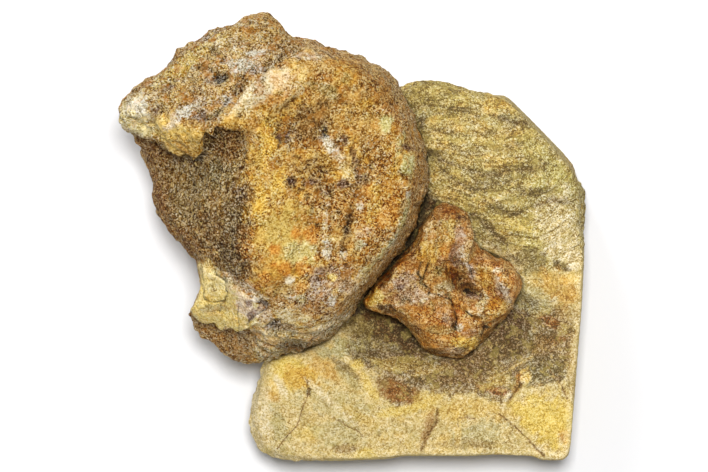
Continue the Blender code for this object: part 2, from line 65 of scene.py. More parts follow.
# Colours as shown on a screen.
TINTS = {
    "chalk": (0.91, 0.85, 0.70),
    "cream": (0.92, 0.80, 0.50),
    "pink": (0.87, 0.71, 0.50),
    "yellow": (0.90, 0.74, 0.32),
    "ochre": (0.80, 0.61, 0.23),
    "orange": (0.76, 0.50, 0.17),
    "rust": (0.57, 0.34, 0.11),
    "tan": (0.75, 0.58, 0.29),
    "sand": (0.81, 0.69, 0.37),
    "brown": (0.52, 0.37, 0.17),
    "umber": (0.36, 0.23, 0.09),
    "bark": (0.26, 0.165, 0.06),
    # Near black: cracks and pores, and painted shadow in gaps, pits, the notch and the groove.
    "black_and_shade": (0.12, 0.09, 0.05),
    "lilac": (0.62, 0.50, 0.39),
    "plum": (0.38, 0.26, 0.18),
    "slate": (0.43, 0.36, 0.22),
    "moss": (0.57, 0.50, 0.27),
    "olive": (0.71, 0.63, 0.33),
    "lichen": (0.79, 0.74, 0.47),
    "ash": (0.73, 0.69, 0.51),
    "straw": (0.87, 0.77, 0.43),
    # Grey-brown for the ground below the smaller bone, partly stain and partly painted shade.
    "stain_and_shade": (0.60, 0.51, 0.37),
}


def linear(tint):
    """A named colour as the linear light values that materials use."""
    shown = np.array(TINTS[tint])
    return np.where(shown <= 0.04045, shown / 12.92, ((shown + 0.055) / 1.055) ** 2.4)


# Noise and shapes in plan.
CELL_SCATTER = np.array([73856093, 19349663, 83492791])  # large odd numbers that tell cells apart
SEED_SCATTER = 40503
BIT_MIXER = 1274126177


def lattice(cells, seed):
    """A repeatable number from 0 to 1 for each whole-number cell."""
    x, y, z = np.moveaxis(cells * CELL_SCATTER, -1, 0)
    bits = x ^ y ^ z ^ (seed * SEED_SCATTER)
    bits = ((bits ^ (bits >> 13)) * BIT_MIXER) & 0xFFFFFFFF
    return ((bits ^ (bits >> 16)) & 0xFFFF) / 0xFFFF


def soft_noise(points, size, seed):
    """Smooth variation between -1 and 1, with features of about the given size."""
    scaled = points / size
    cells = np.floor(scaled).astype(np.int64)
    part = scaled - cells
    part = part**3 * (part * (part * 6 - 15) + 10)
    total = np.zeros(len(points))
    for corner in itertools.product((0, 1), repeat=3):
        share = np.where(corner, part, 1 - part).prod(1)
        total += share * lattice(cells + corner, seed)
    return total * 2 - 1


def creased(points, size, seed):
    """Noise whose high places are sharp crests, 1 at the most."""
    return 1 - 3 * np.abs(soft_noise(points, size, seed))


def fractal(points, size, seed, octaves=3, gain=0.55):
    """Several layers of noise, each finer, weaker and turned against the one before."""
    turn = np.array([[0.36, 0.48, -0.8], [-0.8, 0.6, 0.0], [0.48, 0.64, 0.6]])
    total = np.zeros(len(points))
    strength, reach = 1.0, 0.0
    for octave in range(octaves):
        total += strength * soft_noise(points, size, seed + octave)
        reach += strength
        strength *= gain
        size /= 2.1
        points = points @ turn
    return total / reach * 1.6


def ease(values):
    """A smooth 0 to 1 step."""
    part = np.clip(values, 0, 1)
    return part * part * (3 - 2 * part)


def holes(points, size, seed, radius, soft):
    """1 in strewn round holes, one to each cell, and 0 between them; radius and soft are in cell sizes."""
    scaled = points / size
    cells = np.floor(scaled).astype(np.int64)
    nearest = np.full(len(points), 9.0)
    for offset in itertools.product((-1, 0, 1), repeat=3):
        cell = cells + offset
        middle = cell + np.stack([lattice(cell, seed + k) for k in range(3)], axis=1)
        nearest = np.minimum(nearest, ((scaled - middle) ** 2).sum(1))
    return ease((radius - np.sqrt(nearest)) / soft)


def line_distance(plan, line, closed=False):
    """Plan distance from each point to a line of straight runs."""
    ends = list(line) + [line[0]] if closed else list(line)
    best = np.full(len(plan), 1e9)
    for start, end in zip(ends, ends[1:]):
        run = np.subtract(end, start)
        offset = plan - start
        along = np.clip(offset @ run / (run @ run), 0, 1)
        best = np.minimum(best, np.hypot(*(offset - along[:, None] * run).T))
    return best


def beside(plan, lines, reach, soft):
    """1 close to any of the lines, easing to 0 at the reach."""
    distance = np.min([line_distance(plan, line) for line in lines], axis=0)
    return ease((reach - distance) / soft)


def zone_depth(plan, zone):
    """Plan distance inside a closed zone's edge, negative outside it."""
    within = np.zeros(len(plan), bool)
    for (x1, y1), (x2, y2) in zip(zone, zone[1:] + zone[:1]):
        if y1 == y2:
            continue
        spans = (y1 > plan[:, 1]) != (y2 > plan[:, 1])
        within ^= spans & (plan[:, 0] < x1 + (plan[:, 1] - y1) / (y2 - y1) * (x2 - x1))
    return np.where(within, 1, -1) * line_distance(plan, zone, closed=True)


def inside(plan, zone, soft, stray=0):
    """1 inside a closed zone and 0 outside it, easing across the edge; stray moves the edge outwards."""
    return ease(0.5 + (zone_depth(plan, zone) + stray) / soft)


def mesh_array(items, field, width, kind=np.float32):
    """One of the values that a mesh keeps, as an array with a row for each item."""
    values = np.empty(len(items) * width, kind)
    items.foreach_get(field, values)
    return values.reshape(-1, width)


class Surface:
    """The vertices of a piece as arrays: places in datum millimetres, normals, and the paint on them."""

    def __init__(self, obj):
        self.obj = obj
        self.read()
        self.count = len(self.places)
        self.wobble = 0.55 * soft_noise(self.places, 5.0, 71) + 0.45 * fractal(self.places, 1.9, 72, 2)
        self.ragged = fractal(self.places, 2.6, 75, 3, 0.8)
        self.paint = np.zeros((self.count, 3))
        self.grit = np.zeros(self.count)
        self.sponge = np.full(self.count, SOLID_SPONGE)

    def read(self):
        """Takes places and normals from the mesh."""
        mesh = self.obj.data
        self.places = mesh_array(mesh.vertices, "co", 3).astype(float) / MM - DATUM
        self.plan = self.places[:, :2]
        self.normals = mesh_array(mesh.vertex_normals, "vector", 3).astype(float)
        self.up = self.normals[:, 2]

    def write(self):
        """Puts the places back in the mesh, none of them below the base."""
        self.places[:, 2] = np.maximum(self.places[:, 2], 0)
        co = ((self.places + DATUM) * MM).astype(np.float32)
        self.obj.data.vertices.foreach_set("co", co.ravel())
        self.obj.data.update()

    def raise_by(self, height):
        """Moves each vertex along its normal, in millimetres, and leaves the flat base as it is."""
        standing = ease(self.places[:, 2] / BASE_BAND)
        self.places += self.normals * (height * standing)[:, None]
        self.write()
        self.read()

    def facing(self, start, span):
        """1 where the surface looks up, easing to 0 where the upward part of its normal falls to start."""
        return ease((self.up - start) / span)

    def deepen(self, amount):
        """Makes the paint darker where the amount is above 0 and paler where it is below."""
        self.paint = np.clip(self.paint, 0, 1) ** (2.0**amount)[:, None]

    def cover(self, tint, share):
        """Mixes a named colour into the paint."""
        share = np.clip(share, 0, 1)[:, None]
        self.paint += share * (linear(tint) - self.paint)

    def mottle(self, tint, share, start, slope, noise):
        """Mixes a named colour into the paint where start + slope * noise comes above 0."""
        self.cover(tint, share * ease(start + slope * noise))

    def spot(self, x, y, long, short, turn=0):
        """How far each vertex lies inside a ragged oval patch seen from above, 0 to 1."""
        angle = math.radians(turn)
        dx, dy = self.plan[:, 0] - x, self.plan[:, 1] - y
        along = dx * math.cos(angle) + dy * math.sin(angle)
        across = dy * math.cos(angle) - dx * math.sin(angle)
        reach = np.hypot(along / long, across / short) + 0.42 * self.wobble + 0.4 * self.ragged
        return ease((1.25 - reach) / 0.5)

    def patches(self, rows, where):
        """Paints ragged oval patches: colour, x, y, half length, half width, turn in degrees, strength."""
        for tint, x, y, long, short, turn, strength in rows:
            self.cover(tint, self.spot(x, y, long, short, turn) * min(PATCH_GAIN * strength, 1) * where)

    def stroke(self, line, half_width, ragged=0.5):
        """How near each vertex is to a thin line seen from above, 0 to 1."""
        distance = line_distance(self.plan + ragged * self.wobble[:, None], line)
        return np.exp(-((distance / half_width) ** 2))

    def show(self, material, **shares):
        """Stores the paint, the grit and other shares on the mesh and gives the piece its material."""
        mesh = self.obj.data
        colour = np.column_stack([np.clip(self.paint, 0, 1), np.ones(self.count)]).astype(np.float32)
        mesh.color_attributes.new("paint", "FLOAT_COLOR", "POINT").data.foreach_set("color", colour.ravel())
        for name, values in {"grit": self.grit, "sponge": self.sponge, **shares}.items():
            values = np.clip(values, 0, 1).astype(np.float32)
            mesh.attributes.new(name, "FLOAT", "POINT").data.foreach_set("value", values)
        mesh.materials.clear()
        mesh.materials.append(material)
        mesh.shade_smooth()


# Making the fine meshes.

def smoothed(places, edges, passes, weight):
    """Places drawn towards the mean of their neighbours, pass by pass."""
    first, second = edges.T
    count = len(places)
    touching = np.bincount(edges.ravel(), minlength=count)[:, None]
    for _ in range(passes):
        total = np.empty_like(places)
        for axis in range(3):
            total[:, axis] = np.bincount(first, places[second, axis], count)
            total[:, axis] += np.bincount(second, places[first, axis], count)
        places = places + weight[:, None] * (total / touching - places)
    return places


def remeshed(node_name, name, face_size):
    """A copy of a CAD node in small even faces."""
    bm = bmesh.new()
    bm.from_mesh(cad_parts[node_name].data)
    bmesh.ops.remove_doubles(bm, verts=bm.verts, dist=WELD_DISTANCE)
    rough_mesh = bpy.data.meshes.new(name)
    bm.to_mesh(rough_mesh)
    bm.free()
    obj = bpy.data.objects.new(name, rough_mesh)
    bpy.context.scene.collection.objects.link(obj)
    remesh = obj.modifiers.new("fine", "REMESH")
    remesh.mode = "VOXEL"
    remesh.voxel_size = face_size * MM
    graph = bpy.context.evaluated_depsgraph_get()
    mesh = bpy.data.meshes.new_from_object(obj.evaluated_get(graph))
    obj.modifiers.clear()
    obj.data = mesh
    return obj


def fine_copy(node_name, name, face_size, passes, sharp_edges=()):
    """A finely meshed copy of a CAD node, its facets smoothed away but for the sharp edges and the base."""
    size = face_size * 1
    obj = remeshed(node_name, name, size)
    places = mesh_array(obj.data.vertices, "co", 3).astype(float)
    edges = mesh_array(obj.data.edges, "vertices", 2, np.int32)
    base = places[:, 2] < 0.5 * size * MM
    weight = np.where(base, 0, 0.5)
    free_weight = weight
    if sharp_edges:
        free_weight = weight * (1 - beside(places[:, :2] / MM - DATUM[:2], sharp_edges, SHARP_REACH, 1.8))
    places = smoothed(places, edges, 3, weight)
    places = smoothed(places, edges, round(passes * (face_size / size) ** 2), free_weight)
    places[base, 2] = 0
    obj.data.vertices.foreach_set("co", places.astype(np.float32).ravel())
    obj.data.update()
    return obj


def refined(obj, lines, reach):
    """Splits the upper faces near the given lines, so that cracks and broken edges come out crisp."""
    for _ in range(CRISP_ROUNDS):
        bm = bmesh.new()
        bm.from_mesh(obj.data)
        bm.normal_update()
        plan = np.array([vert.co[:2] for vert in bm.verts]) / MM - DATUM[:2]
        facing = np.array([vert.normal.z for vert in bm.verts]) > 0.25
        distance = np.min([line_distance(plan, line) for line in lines], axis=0)
        near = facing & (distance < reach)
        chosen = [edge for edge in bm.edges if near[edge.verts[0].index] and near[edge.verts[1].index]]
        bmesh.ops.subdivide_edges(bm, edges=chosen, cuts=1, use_grid_fill=True)
        bm.to_mesh(obj.data)
        bm.free()
        reach *= 0.7


# The vertebra's regions, in plan.
CREST = [(-53, 42.5), (-48, 48), (-41, 57), (-34, 63), (-27, 68), (-19, 73)]
ARCH_ZONE = [(-97, 36), (-86, 39.5), (-80, 37), (-73, 33.5), (-66, 31), (-62, 30), (-59, 32), (-56, 37)]
ARCH_ZONE += CREST + [(-14, 84), (-30, 96), (-66, 90), (-100, 62)]
FLANK_ZONE = [(-92, 41), (-86, 39.5), (-80, 37), (-73, 33.5), (-66, 31), (-62, 30), (-59, 32), (-56, 37)]
FLANK_ZONE += [(-53, 41.5), (-50, 42), (-47, 40), (-43.5, 40), (-41.5, 33), (-41, 22), (-40.5, 8), (-40, -3)]
FLANK_ZONE += [(-40, -14), (-43, -19), (-48, -16), (-53, -12.5), (-58, -9), (-63, -8), (-76, -4), (-98, 20)]
PLATE_ZONE = [(-61, -10), (-56, -13), (-52, -14.5), (-48.5, -17.5), (-43, -21), (-38, -25), (-36, -30)]
PLATE_ZONE += [(-38, -34), (-41.5, -36), (-46.5, -37.5), (-48.5, -36), (-50.5, -34.5), (-51.5, -37)]
PLATE_ZONE += [(-55, -35.5), (-61, -33.5), (-65.5, -30.5), (-68, -27), (-64, -21), (-63, -15)]
BREAK_ZONE = [(-70, -30), (-65.5, -30.5), (-61, -33.5), (-55, -35.5), (-51.5, -37), (-48.5, -36)]
BREAK_ZONE += [(-46.5, -37.5), (-41.5, -37.5), (-38.5, -40), (-40, -45), (-46, -50), (-50, -60), (-76, -46)]
LOWER_WALL = [(-38, -33), (-28, -36), (-16, -36), (-4, -30), (4, -26), (2, -38), (-12, -50), (-36, -56)]
LOWER_WALL += [(-40, -44)]
ARCH_CORE = [(-90, 50), (-70, 66), (-45, 79), (-24, 76), (-20, 60), (-60, 28)]
CORNER_LIP = [(-66, -34), (-60, -42), (-54, -47.5), (-49, -51), (-42, -53)]
RIM_LINE = [(19, 28), (21, 16), (17, 3), (12, -6), (4, -15), (-1, -24)]
# Ovals: x, y, half length, half width and, where it matters, turn.
UPPER_RIM = (10, 61.5, 16, 8, -40)
PALE_FOOT = (-20, -27, 22, 10, 10)
ARCH_PARTS = {"tip": (-86, 46, 9, 9), "lobe": (-67, 37, 17, 7.5, -30), "knob": (-37, 84, 14, 9)}
SMOOTH_SPOTS = [((-27, -3, 14, 16), 0.25), ((-36, 54, 15, 7, 40), 0.15)]  # with how much less grit
CENTRUM_MIDDLE = (-25, 10)
CRISP_EDGES = [FLANK_ZONE[1:16], PLATE_ZONE[4:16], CREST]
# How much darker, grittier and spongier each region is than plain bone; the lower wall and the walls are
# painted paler, as painted light against the shade they lie in.
REGION_LOOKS = {
    "face": (0.02, 0.0, 0.0),
    "flank": (0.16, 0.25, 0.6),
    "plate": (-0.62, -0.25, -0.1),
    "lower": (-0.85, 0.0, 0.0),
    "arch": (-0.37, 0.25, 0.25),
    "break": (-0.4, 0.1, 0.25),
    "wall": (-0.45, 0.1, 0.0),
    "tip": (0.0, -0.3, 0.0),
    "lobe": (0.0, -0.45, 0.0),
}

# Cracks in the vertebra: line, half width, depth.
VERTEBRA_CRACKS = [
    ([(-55, 73.5), (-53.5, 71), (-50, 68)], 0.6, 0.9),
    ([(-60, -10.5), (-59.5, -19.5), (-58.5, -24.5), (-55, -26), (-50.5, -25.5), (-49.5, -21.5)], 0.32, 0.5),
    ([(-49.5, -21.5), (-50.5, -17.5), (-55, -14)], 0.3, 0.4),
    ([(-50.5, -25.5), (-52.5, -27), (-53, -30)], 0.25, 0.3),
    ([(-45, -26.5), (-45.3, -31), (-45, -36)], 0.3, 0.5),
    ([(-42, -35), (-39.5, -31.5), (-35, -29)], 0.28, 0.4),
    ([(-57, 44.5), (-52, 47.5), (-48, 53)], 0.7, 0.7),
]
PLATE_FLAKE = VERTEBRA_CRACKS[1][0] + [(-50.5, -17.5)]  # stands a little proud inside the long crack

# Hollows and knobs on the vertebra: x, y, radius, height.
VERTEBRA_PITS = [
    (-51.5, 61, 2.8, -2.6),
    (-60, 45, 2.6, -1.6),
    (-45, 56, 2.2, -1.6),
    (-72, 59, 2.4, -1.4),
    (-77.5, 49, 3.0, -1.2),
    (-55.5, 35, 4.2, -3.0),
    (-47.5, 37, 2.4, -1.6),
    (-30.8, -35.2, 2.9, -3.2),
    (-35, -26.5, 2.0, -1.4),
    (-26, 38, 2.8, -1.2),
    (-17, 20.5, 2.0, -0.8),
    (-24, 21, 1.5, -0.8),
    (-2.5, 5, 2.0, -1.0),
    (20.5, 34, 2.0, -1.0),
    (-24, -43.5, 4.0, -1.8),
    (-42.5, 65, 4.5, 1.0),
    (-66, 49, 3.6, 0.9),
    (-86, 50, 4.5, 0.6),
    (-36, 82, 4.0, -1.0),
]

# Paint on the articular face: colour, x, y, half length, half width, turn, strength.
FACE_PATCHES = [
    # The crest at the upper left, chalky above and yellow below.
    ("cream", -33, 55, 14, 7, 30, 0.6),
    ("chalk", -42, 54, 9, 3.2, 47, 0.85),
    ("chalk", -36, 61, 6, 2.5, 45, 0.7),
    ("slate", -35.5, 59.5, 3, 1.6, 30, 0.55),
    ("cream", -22, 61, 5, 5, 0, 0.75),
    ("cream", -40, 49, 7, 5, 40, 0.6),
    ("tan", -32, 50, 9, 5, 35, 0.45),
    ("chalk", -34.5, 56, 11, 3.6, 40, 0.5),
    ("pink", -27, 58, 5, 4, 0, 0.5),
    ("orange", -31, 52, 6, 2.4, 30, 0.5),
    ("orange", -36, 56, 3, 1.8, 60, 0.4),
    ("ochre", -45, 43.5, 7, 3, 10, 0.5),
    ("tan", -13, 65, 8, 2.2, -10, 0.6),
    ("chalk", -20, 70, 7, 1.6, -8, 0.6),
    # Yellow band beside the flank.
    ("ochre", -34, 28, 20, 7, 88, 0.9),
    ("tan", -31, 24, 8, 3, 70, 0.4),
    ("yellow", -35, 35, 9, 4, 80, 0.6),
    ("yellow", -29.5, 19, 7, 2.2, 80, 0.7),
    ("yellow", -36, 10, 8, 3, 85, 0.5),
    ("brown", -37, 30, 8, 1.8, 90, 0.4),
    ("tan", -31, 12, 6, 3, 70, 0.4),
    ("brown", -39.8, 17, 4, 1.6, 85, 0.6),
    ("umber", -39.5, 28, 2.4, 1.2, 60, 0.5),
    ("plum", -39.5, 3, 2.0, 1.2, 60, 0.5),
    # Brown field near the middle, with darker edges.
    ("brown", -18, 44, 11, 7, 30, 0.75),
    ("umber", -11, 50.5, 4.5, 1.2, -35, 0.7),
    ("umber", -27, 50, 8, 1.2, 40, 0.45),
    ("black_and_shade", -11.3, 40, 1.2, 2.4, 10, 0.9),
    ("plum", -26, 38, 3.6, 2.6, 30, 0.95),
    ("black_and_shade", -27.5, 36.8, 1.6, 1.2, 0, 0.7),
    ("tan", -3, 47, 6, 8, 70, 0.5),
    ("ochre", -3.5, 62, 5, 4.5, 0, 0.6),
    ("moss", -3, 61, 2, 2.4, 0, 0.5),
    ("moss", -12, 57, 8, 2, -25, 0.5),
    ("moss", 6, 46, 3, 2.2, 0, 0.5),
    # White streaks and purple marks across the middle.
    ("chalk", -8, 33, 5.5, 2.2, -50, 0.7),
    ("cream", -3, 25, 4.5, 2.0, -45, 0.7),
    ("plum", -3.5, 36.5, 2.6, 2.0, -40, 0.75),
    ("plum", 0, 31, 6, 1.6, -70, 0.7),
    ("plum", 3.5, 22.5, 4.0, 3.0, -60, 0.65),
    ("plum", -4, 20, 2.6, 1.8, 10, 0.8),
    ("plum", -24, 21, 1.8, 1.5, 0, 0.85),
    ("plum", -17, 20.5, 3.4, 1.4, 12, 0.85),
    ("plum", -12.5, 16.5, 2.4, 1.1, -10, 0.7),
    ("plum", 2, 16, 3.0, 1.6, 0, 0.5),
    ("brown", -14, 27, 9, 5, 10, 0.45),
    ("umber", -12, 25.5, 3.2, 1.6, -20, 0.6),
    # Orange right half with pale patches inside its rim.
    ("orange", 10, 12, 14, 8, 80, 0.6),
    ("yellow", 8, 14, 9, 2.4, 82, 0.5),
    ("yellow", 14, 21, 7, 2.0, 75, 0.45),
    ("tan", 8, 40, 9, 8, 50, 0.55),
    ("lichen", 12.5, 43, 4.5, 2.6, 65, 0.8),
    ("lichen", 18, 36, 5, 1.6, 75, 0.6),
    ("lichen", 20.5, 27, 4.5, 2.6, 80, 0.85),
    ("lichen", 19, 4, 10, 1.8, 78, 0.7),
    ("lichen", 13, -6.5, 7, 2.2, 52, 0.75),
    ("ash", 15.5, -2.5, 4, 1.6, 60, 0.6),
    ("lichen", 5, -15, 6, 2.6, 50, 0.7),
    ("cream", 1, -17, 3, 1.8, 0, 0.6),
    ("rust", 25, 14, 10, 2.6, 84, 0.65),
    ("rust", 13.5, -12.5, 8, 1.8, 50, 0.6),
    ("plum", 20.8, 34.5, 2.8, 1.6, -10, 0.75),
    ("chalk", 21.2, 16.2, 1.1, 0.9, 0, 0.9),
    ("chalk", 2.2, 11.2, 1.0, 1.8, 0, 0.85),
    # Greenish lower left with orange blisters.
    ("ochre", -30, 0, 13, 10, 60, 0.45),
    ("sand", -30, 0, 12, 8, 60, 0.5),
    ("olive", -28, 2, 9, 6, 60, 0.3),
    ("sand", -19, 6, 7, 4, 20, 0.4),
    ("lichen", -19, -6.5, 6.5, 5, 10, 0.6),
    ("cream", -11.8, 4, 6.8, 0.9, 92, 0.85),
    ("chalk", -10.8, 8, 3.5, 0.8, 80, 0.8),
    ("chalk", -10.5, -5.5, 1.4, 3.5, 0, 0.6),
    ("cream", -8.5, -1, 3.5, 1.2, -5, 0.7),
    ("slate", -17, 5.5, 5.5, 0.7, 80, 0.55),
    ("umber", -2.4, 5.5, 1.7, 5.8, -8, 0.9),
    ("black_and_shade", -3.0, 3.5, 1.0, 3.0, -12, 0.6),
    ("umber", -4.2, -5, 1.2, 2.8, 5, 0.75),
    ("chalk", -4.5, -7.6, 1.5, 1.1, -30, 0.8),
    ("ash", 2.5, -3.4, 2.0, 1.5, 30, 0.7),
    ("pink", 3.5, 1.5, 3.0, 2.0, 0, 0.6),
    # Brown and purple lower middle.
    ("orange", -8, -22, 14, 8, 20, 0.3),
    ("lilac", -8, -18, 9, 7, 30, 0.5),
    ("plum", -14, -15.5, 3.8, 2.4, 30, 0.6),
    ("plum", -17, -27, 5, 3, -20, 0.4),
    ("brown", -28, -21, 8, 5, 20, 0.55),
    ("umber", -4, -16, 1.4, 3.6, 10, 0.5),
    ("rust", -12, -28, 9, 4, 20, 0.45),
    ("chalk", -24.5, -17, 2.0, 1.8, 0, 0.75),
    ("chalk", -9, -25, 1.8, 2.4, 0, 0.5),
    ("cream", -18.5, -33, 3.2, 1.8, -15, 0.75),
    ("cream", -10.2, -33.5, 1.8, 1.6, 0, 0.75),
    ("cream", -27, -31, 4, 2.6, -30, 0.5),
    ("yellow", -9, -16, 1.8, 1.2, 0, 0.8),
    ("yellow", -7, -22, 1.6, 1.6, 0, 0.5),
    ("moss", -20.5, -24.5, 2.0, 1.6, 0, 0.6),
]
# Orange blisters on the face: x, y, radius.
BLISTERS = [(-30.5, -5.5, 2.2), (-26.5, -12.8, 2.6), (-22, 1.5, 2.4), (-15, 0.5, 3.6), (-20, -13, 3.0)]
BLISTERS += [(-34.5, -16.5, 2.4), (-38, -19.5, 1.8), (-20.5, -20, 2.2), (-40.5, -5, 2.4), (-33, -22, 1.6)]
BLISTERS += [(-18.5, -8.6, 1.0), (-40, 0.5, 2.0), (-14, -8, 1.6), (-31, -11, 1.4)]

ARCH_PATCHES = [
    ("cream", -86, 49, 9, 7, 60, 0.95),
    ("chalk", -84, 50, 5, 3, 60, 0.5),
    ("pink", -87, 46, 5, 4, 0, 0.4),
    ("yellow", -84, 43.5, 10, 3.5, -25, 0.85),
    ("yellow", -92, 50, 2.5, 6, 0, 0.5),
    ("yellow", -68, 38, 15, 6, -30, 0.95),
    ("ochre", -62, 34, 8, 5, -10, 0.9),
    ("orange", -64, 33, 6, 2.4, -20, 0.5),
    ("ochre", -60, 40, 4, 5, 0, 0.6),
    ("chalk", -43, 65.5, 7.5, 2.8, -12, 0.95),
    ("chalk", -38.5, 70.5, 5, 1.7, 5, 0.8),
    ("chalk", -66, 47.5, 5, 2.4, 25, 0.8),
    ("chalk", -70, 43.5, 5, 1.6, 32, 0.75),
    ("chalk", -61, 51, 4, 1.8, 30, 0.55),
    ("chalk", -49.5, 52.5, 3, 2.2, 30, 0.65),
    ("chalk", -54.5, 60, 2.4, 2.0, 0, 0.5),
    ("chalk", -56, 77, 4.5, 2.2, -10, 0.6),
    ("cream", -49, 73, 7, 3, -30, 0.5),
    ("cream", -42, 84, 4, 3, 30, 0.6),
    ("orange", -61.5, 76, 3.5, 2.4, 0, 0.6),
    ("yellow", -74, 62, 6, 3, 40, 0.5),
    ("yellow", -64, 69, 7, 3, 35, 0.5),
    ("ochre", -72, 53, 8, 4, 30, 0.4),
    ("ochre", -31, 82, 3, 5, 20, 0.6),
    # Black in the deep pit: painted shade.
    ("black_and_shade", -51.5, 61, 2.9, 2.3, 10, 0.95),
    ("umber", -59, 65.5, 5.2, 1.3, -12, 0.75),
    ("umber", -53.5, 70.5, 4, 1.2, -40, 0.55),
    ("plum", -72, 59.5, 4, 2.2, 50, 0.65),
    ("plum", -77.5, 48.8, 3.6, 2.2, 20, 0.75),
    ("plum", -60, 45.5, 4.4, 2.6, 20, 0.75),
    ("umber", -45, 56.5, 3.4, 2.2, 40, 0.85),
    ("umber", -41, 61.5, 4.2, 2.0, 35, 0.65),
    ("rust", -40, 61, 2.2, 1.5, 0, 0.6),
    ("umber", -32, 66.5, 6, 1.8, 35, 0.6),
    ("umber", -66, 62, 4, 2, -10, 0.35),
    ("rust", -36, 82.5, 4.5, 3, 0, 0.6),
    ("umber", -34, 83.5, 2.5, 1.6, 0, 0.5),
    ("brown", -26, 74, 8, 3.5, -30, 0.6),
    ("umber", -44, 74, 5, 2.5, 0, 0.4),
    ("umber", -88.5, 55, 5, 1.3, 38, 0.7),
    ("yellow", -64, 69, 13, 3, 40, 0.6),
    ("umber", -58, 79.5, 8, 1.6, 25, 0.7),
    ("brown", -74, 68.5, 9, 1.6, 40, 0.7),
    ("yellow", -54, 77, 7, 1.6, 20, 0.6),
    ("umber", -38, 90, 7, 2, 10, 0.6),
]

FLANK_PATCHES = [
    ("moss", -64, 17, 14, 8, 60, 0.3),
    ("tan", -72, 25, 9, 4, -15, 0.35),
    # Painted shadow, black, under the arch's overhanging edge in the notch, and in the pit beside it.
    ("black_and_shade", -55.5, 36.5, 5.0, 2.2, 55, 0.55),
    ("black_and_shade", -60, 31, 4, 1.4, 35, 0.7),
    ("brown", -49, 36, 5, 4, 0, 0.6),
    ("black_and_shade", -46.8, 37, 1.6, 1.6, 0, 0.8),
    ("umber", -69, 31, 5, 2, -35, 0.5),
    ("moss", -50, 26, 8, 6, 80, 0.4),
    ("slate", -46, 6, 13, 5, 85, 0.5),
    ("slate", -47, -9, 8, 4, -50, 0.4),
    ("orange", -70, -2, 9, 2.6, -55, 0.75),
    ("rust", -78, 17, 10, 2.6, -75, 0.6),
    ("umber", -48, -6, 7, 4, -60, 0.45),
    ("brown", -60, 2, 8, 7, 0, 0.4),
    ("tan", -53, 14, 5, 3, 30, 0.4),
    ("rust", -66, -2, 6, 3, -45, 0.5),
    ("plum", -44, 18, 2.5, 4, 0, 0.4),
    ("ochre", -42.3, 23, 3.5, 1.8, 60, 0.7),
    ("ochre", -41.5, 9, 4, 1.8, 80, 0.7),
    ("rust", -43, -1, 5, 2.6, 80, 0.6),
    ("orange", -41.5, -5, 4, 2.2, 80, 0.7),
    ("tan", -43.5, 31, 4, 1.8, 80, 0.5),
    ("rust", -49, 33, 5, 5, 0, 0.45),
]

CORNER_PATCHES = [
    ("yellow", -56, -28, 13, 9, -10, 0.95),
    ("yellow", -59, -17, 5, 7, 0, 0.9),
    ("yellow", -47, -31, 6, 6, 0, 0.9),
    ("yellow", -43, -34.5, 5, 2, 20, 0.8),
    ("yellow", -58, -31, 9, 2.6, -22, 0.9),
    ("cream", -57, -13.5, 4, 3, -30, 0.5),
    ("sand", -55.5, -20, 3.5, 3.5, 0, 0.5),
    ("moss", -56, -19.5, 1.4, 1.0, 0, 0.6),
    ("umber", -55, -21.2, 1.0, 0.7, 0, 0.6),
    ("slate", -55, -28.5, 5, 1.4, 5, 0.55),
    ("pink", -44, -20, 7, 4, -35, 0.85),
    ("pink", -42, -27, 4, 6, 0, 0.85),
    ("pink", -35.5, -30.5, 5, 3, -20, 0.8),
    ("chalk", -46, -17.5, 6, 1.6, -30, 0.6),
    ("chalk", -37, -24, 4, 2, -30, 0.6),
    ("olive", -49.5, -17.5, 5, 1.4, -35, 0.6),
    ("plum", -41, -26.3, 1.8, 1.2, 0, 0.9),
    ("plum", -40, -31, 1.5, 3.0, -25, 0.9),
    ("plum", -35, -26.5, 2.8, 2.2, 0, 0.85),
    # Black in the pit: painted shade.
    ("black_and_shade", -34.5, -25.8, 1.2, 1.0, 0, 0.7),
    ("plum", -37.5, -38, 2.2, 2.0, 0, 0.7),
    ("pink", -34.5, -38, 2.2, 2.0, 0, 0.7),
]
BREAK_PATCHES = [
    ("brown", -57, -40, 12, 7, -30, 0.8),
    ("rust", -60, -40, 7, 4, -40, 0.5),
    ("umber", -50, -39.5, 8, 2, -12, 0.6),
    ("slate", -45.5, -42.5, 4.5, 4, 20, 0.5),
    ("slate", -44, -45, 3.5, 2.4, 45, 0.4),
    ("umber", -64, -35, 3, 3, 0, 0.6),
    ("rust", -54, -43, 9, 4, -35, 0.5),
    ("orange", -37.5, -44, 3.2, 5.5, -35, 0.85),
    ("ochre", -38, -48.5, 5, 3, 30, 0.7),
    ("ochre", -34, -39, 4, 1.6, 30, 0.7),
]
LOWER_WALL_PATCHES = [
    # Black in the deep pit: painted shade.
    ("black_and_shade", -30.8, -35.2, 3.2, 2.4, 0, 0.95),
    ("umber", -26, -35.8, 4.5, 1.6, -10, 0.75),
    ("bark", -28, -43, 6.5, 2.0, -12, 0.8),
    ("bark", -20, -44, 6.0, 2.0, 8, 0.8),
    ("ochre", -24, -39.5, 7, 1.8, -12, 0.6),
    ("orange", -33, -42, 4, 1.6, 10, 0.6),
    ("ochre", -32, -46, 5, 1.5, 0, 0.6),
    ("tan", -12, -38.5, 8, 3, 28, 0.5),
    ("sand", -8, -36, 6, 1.4, 35, 0.5),
]


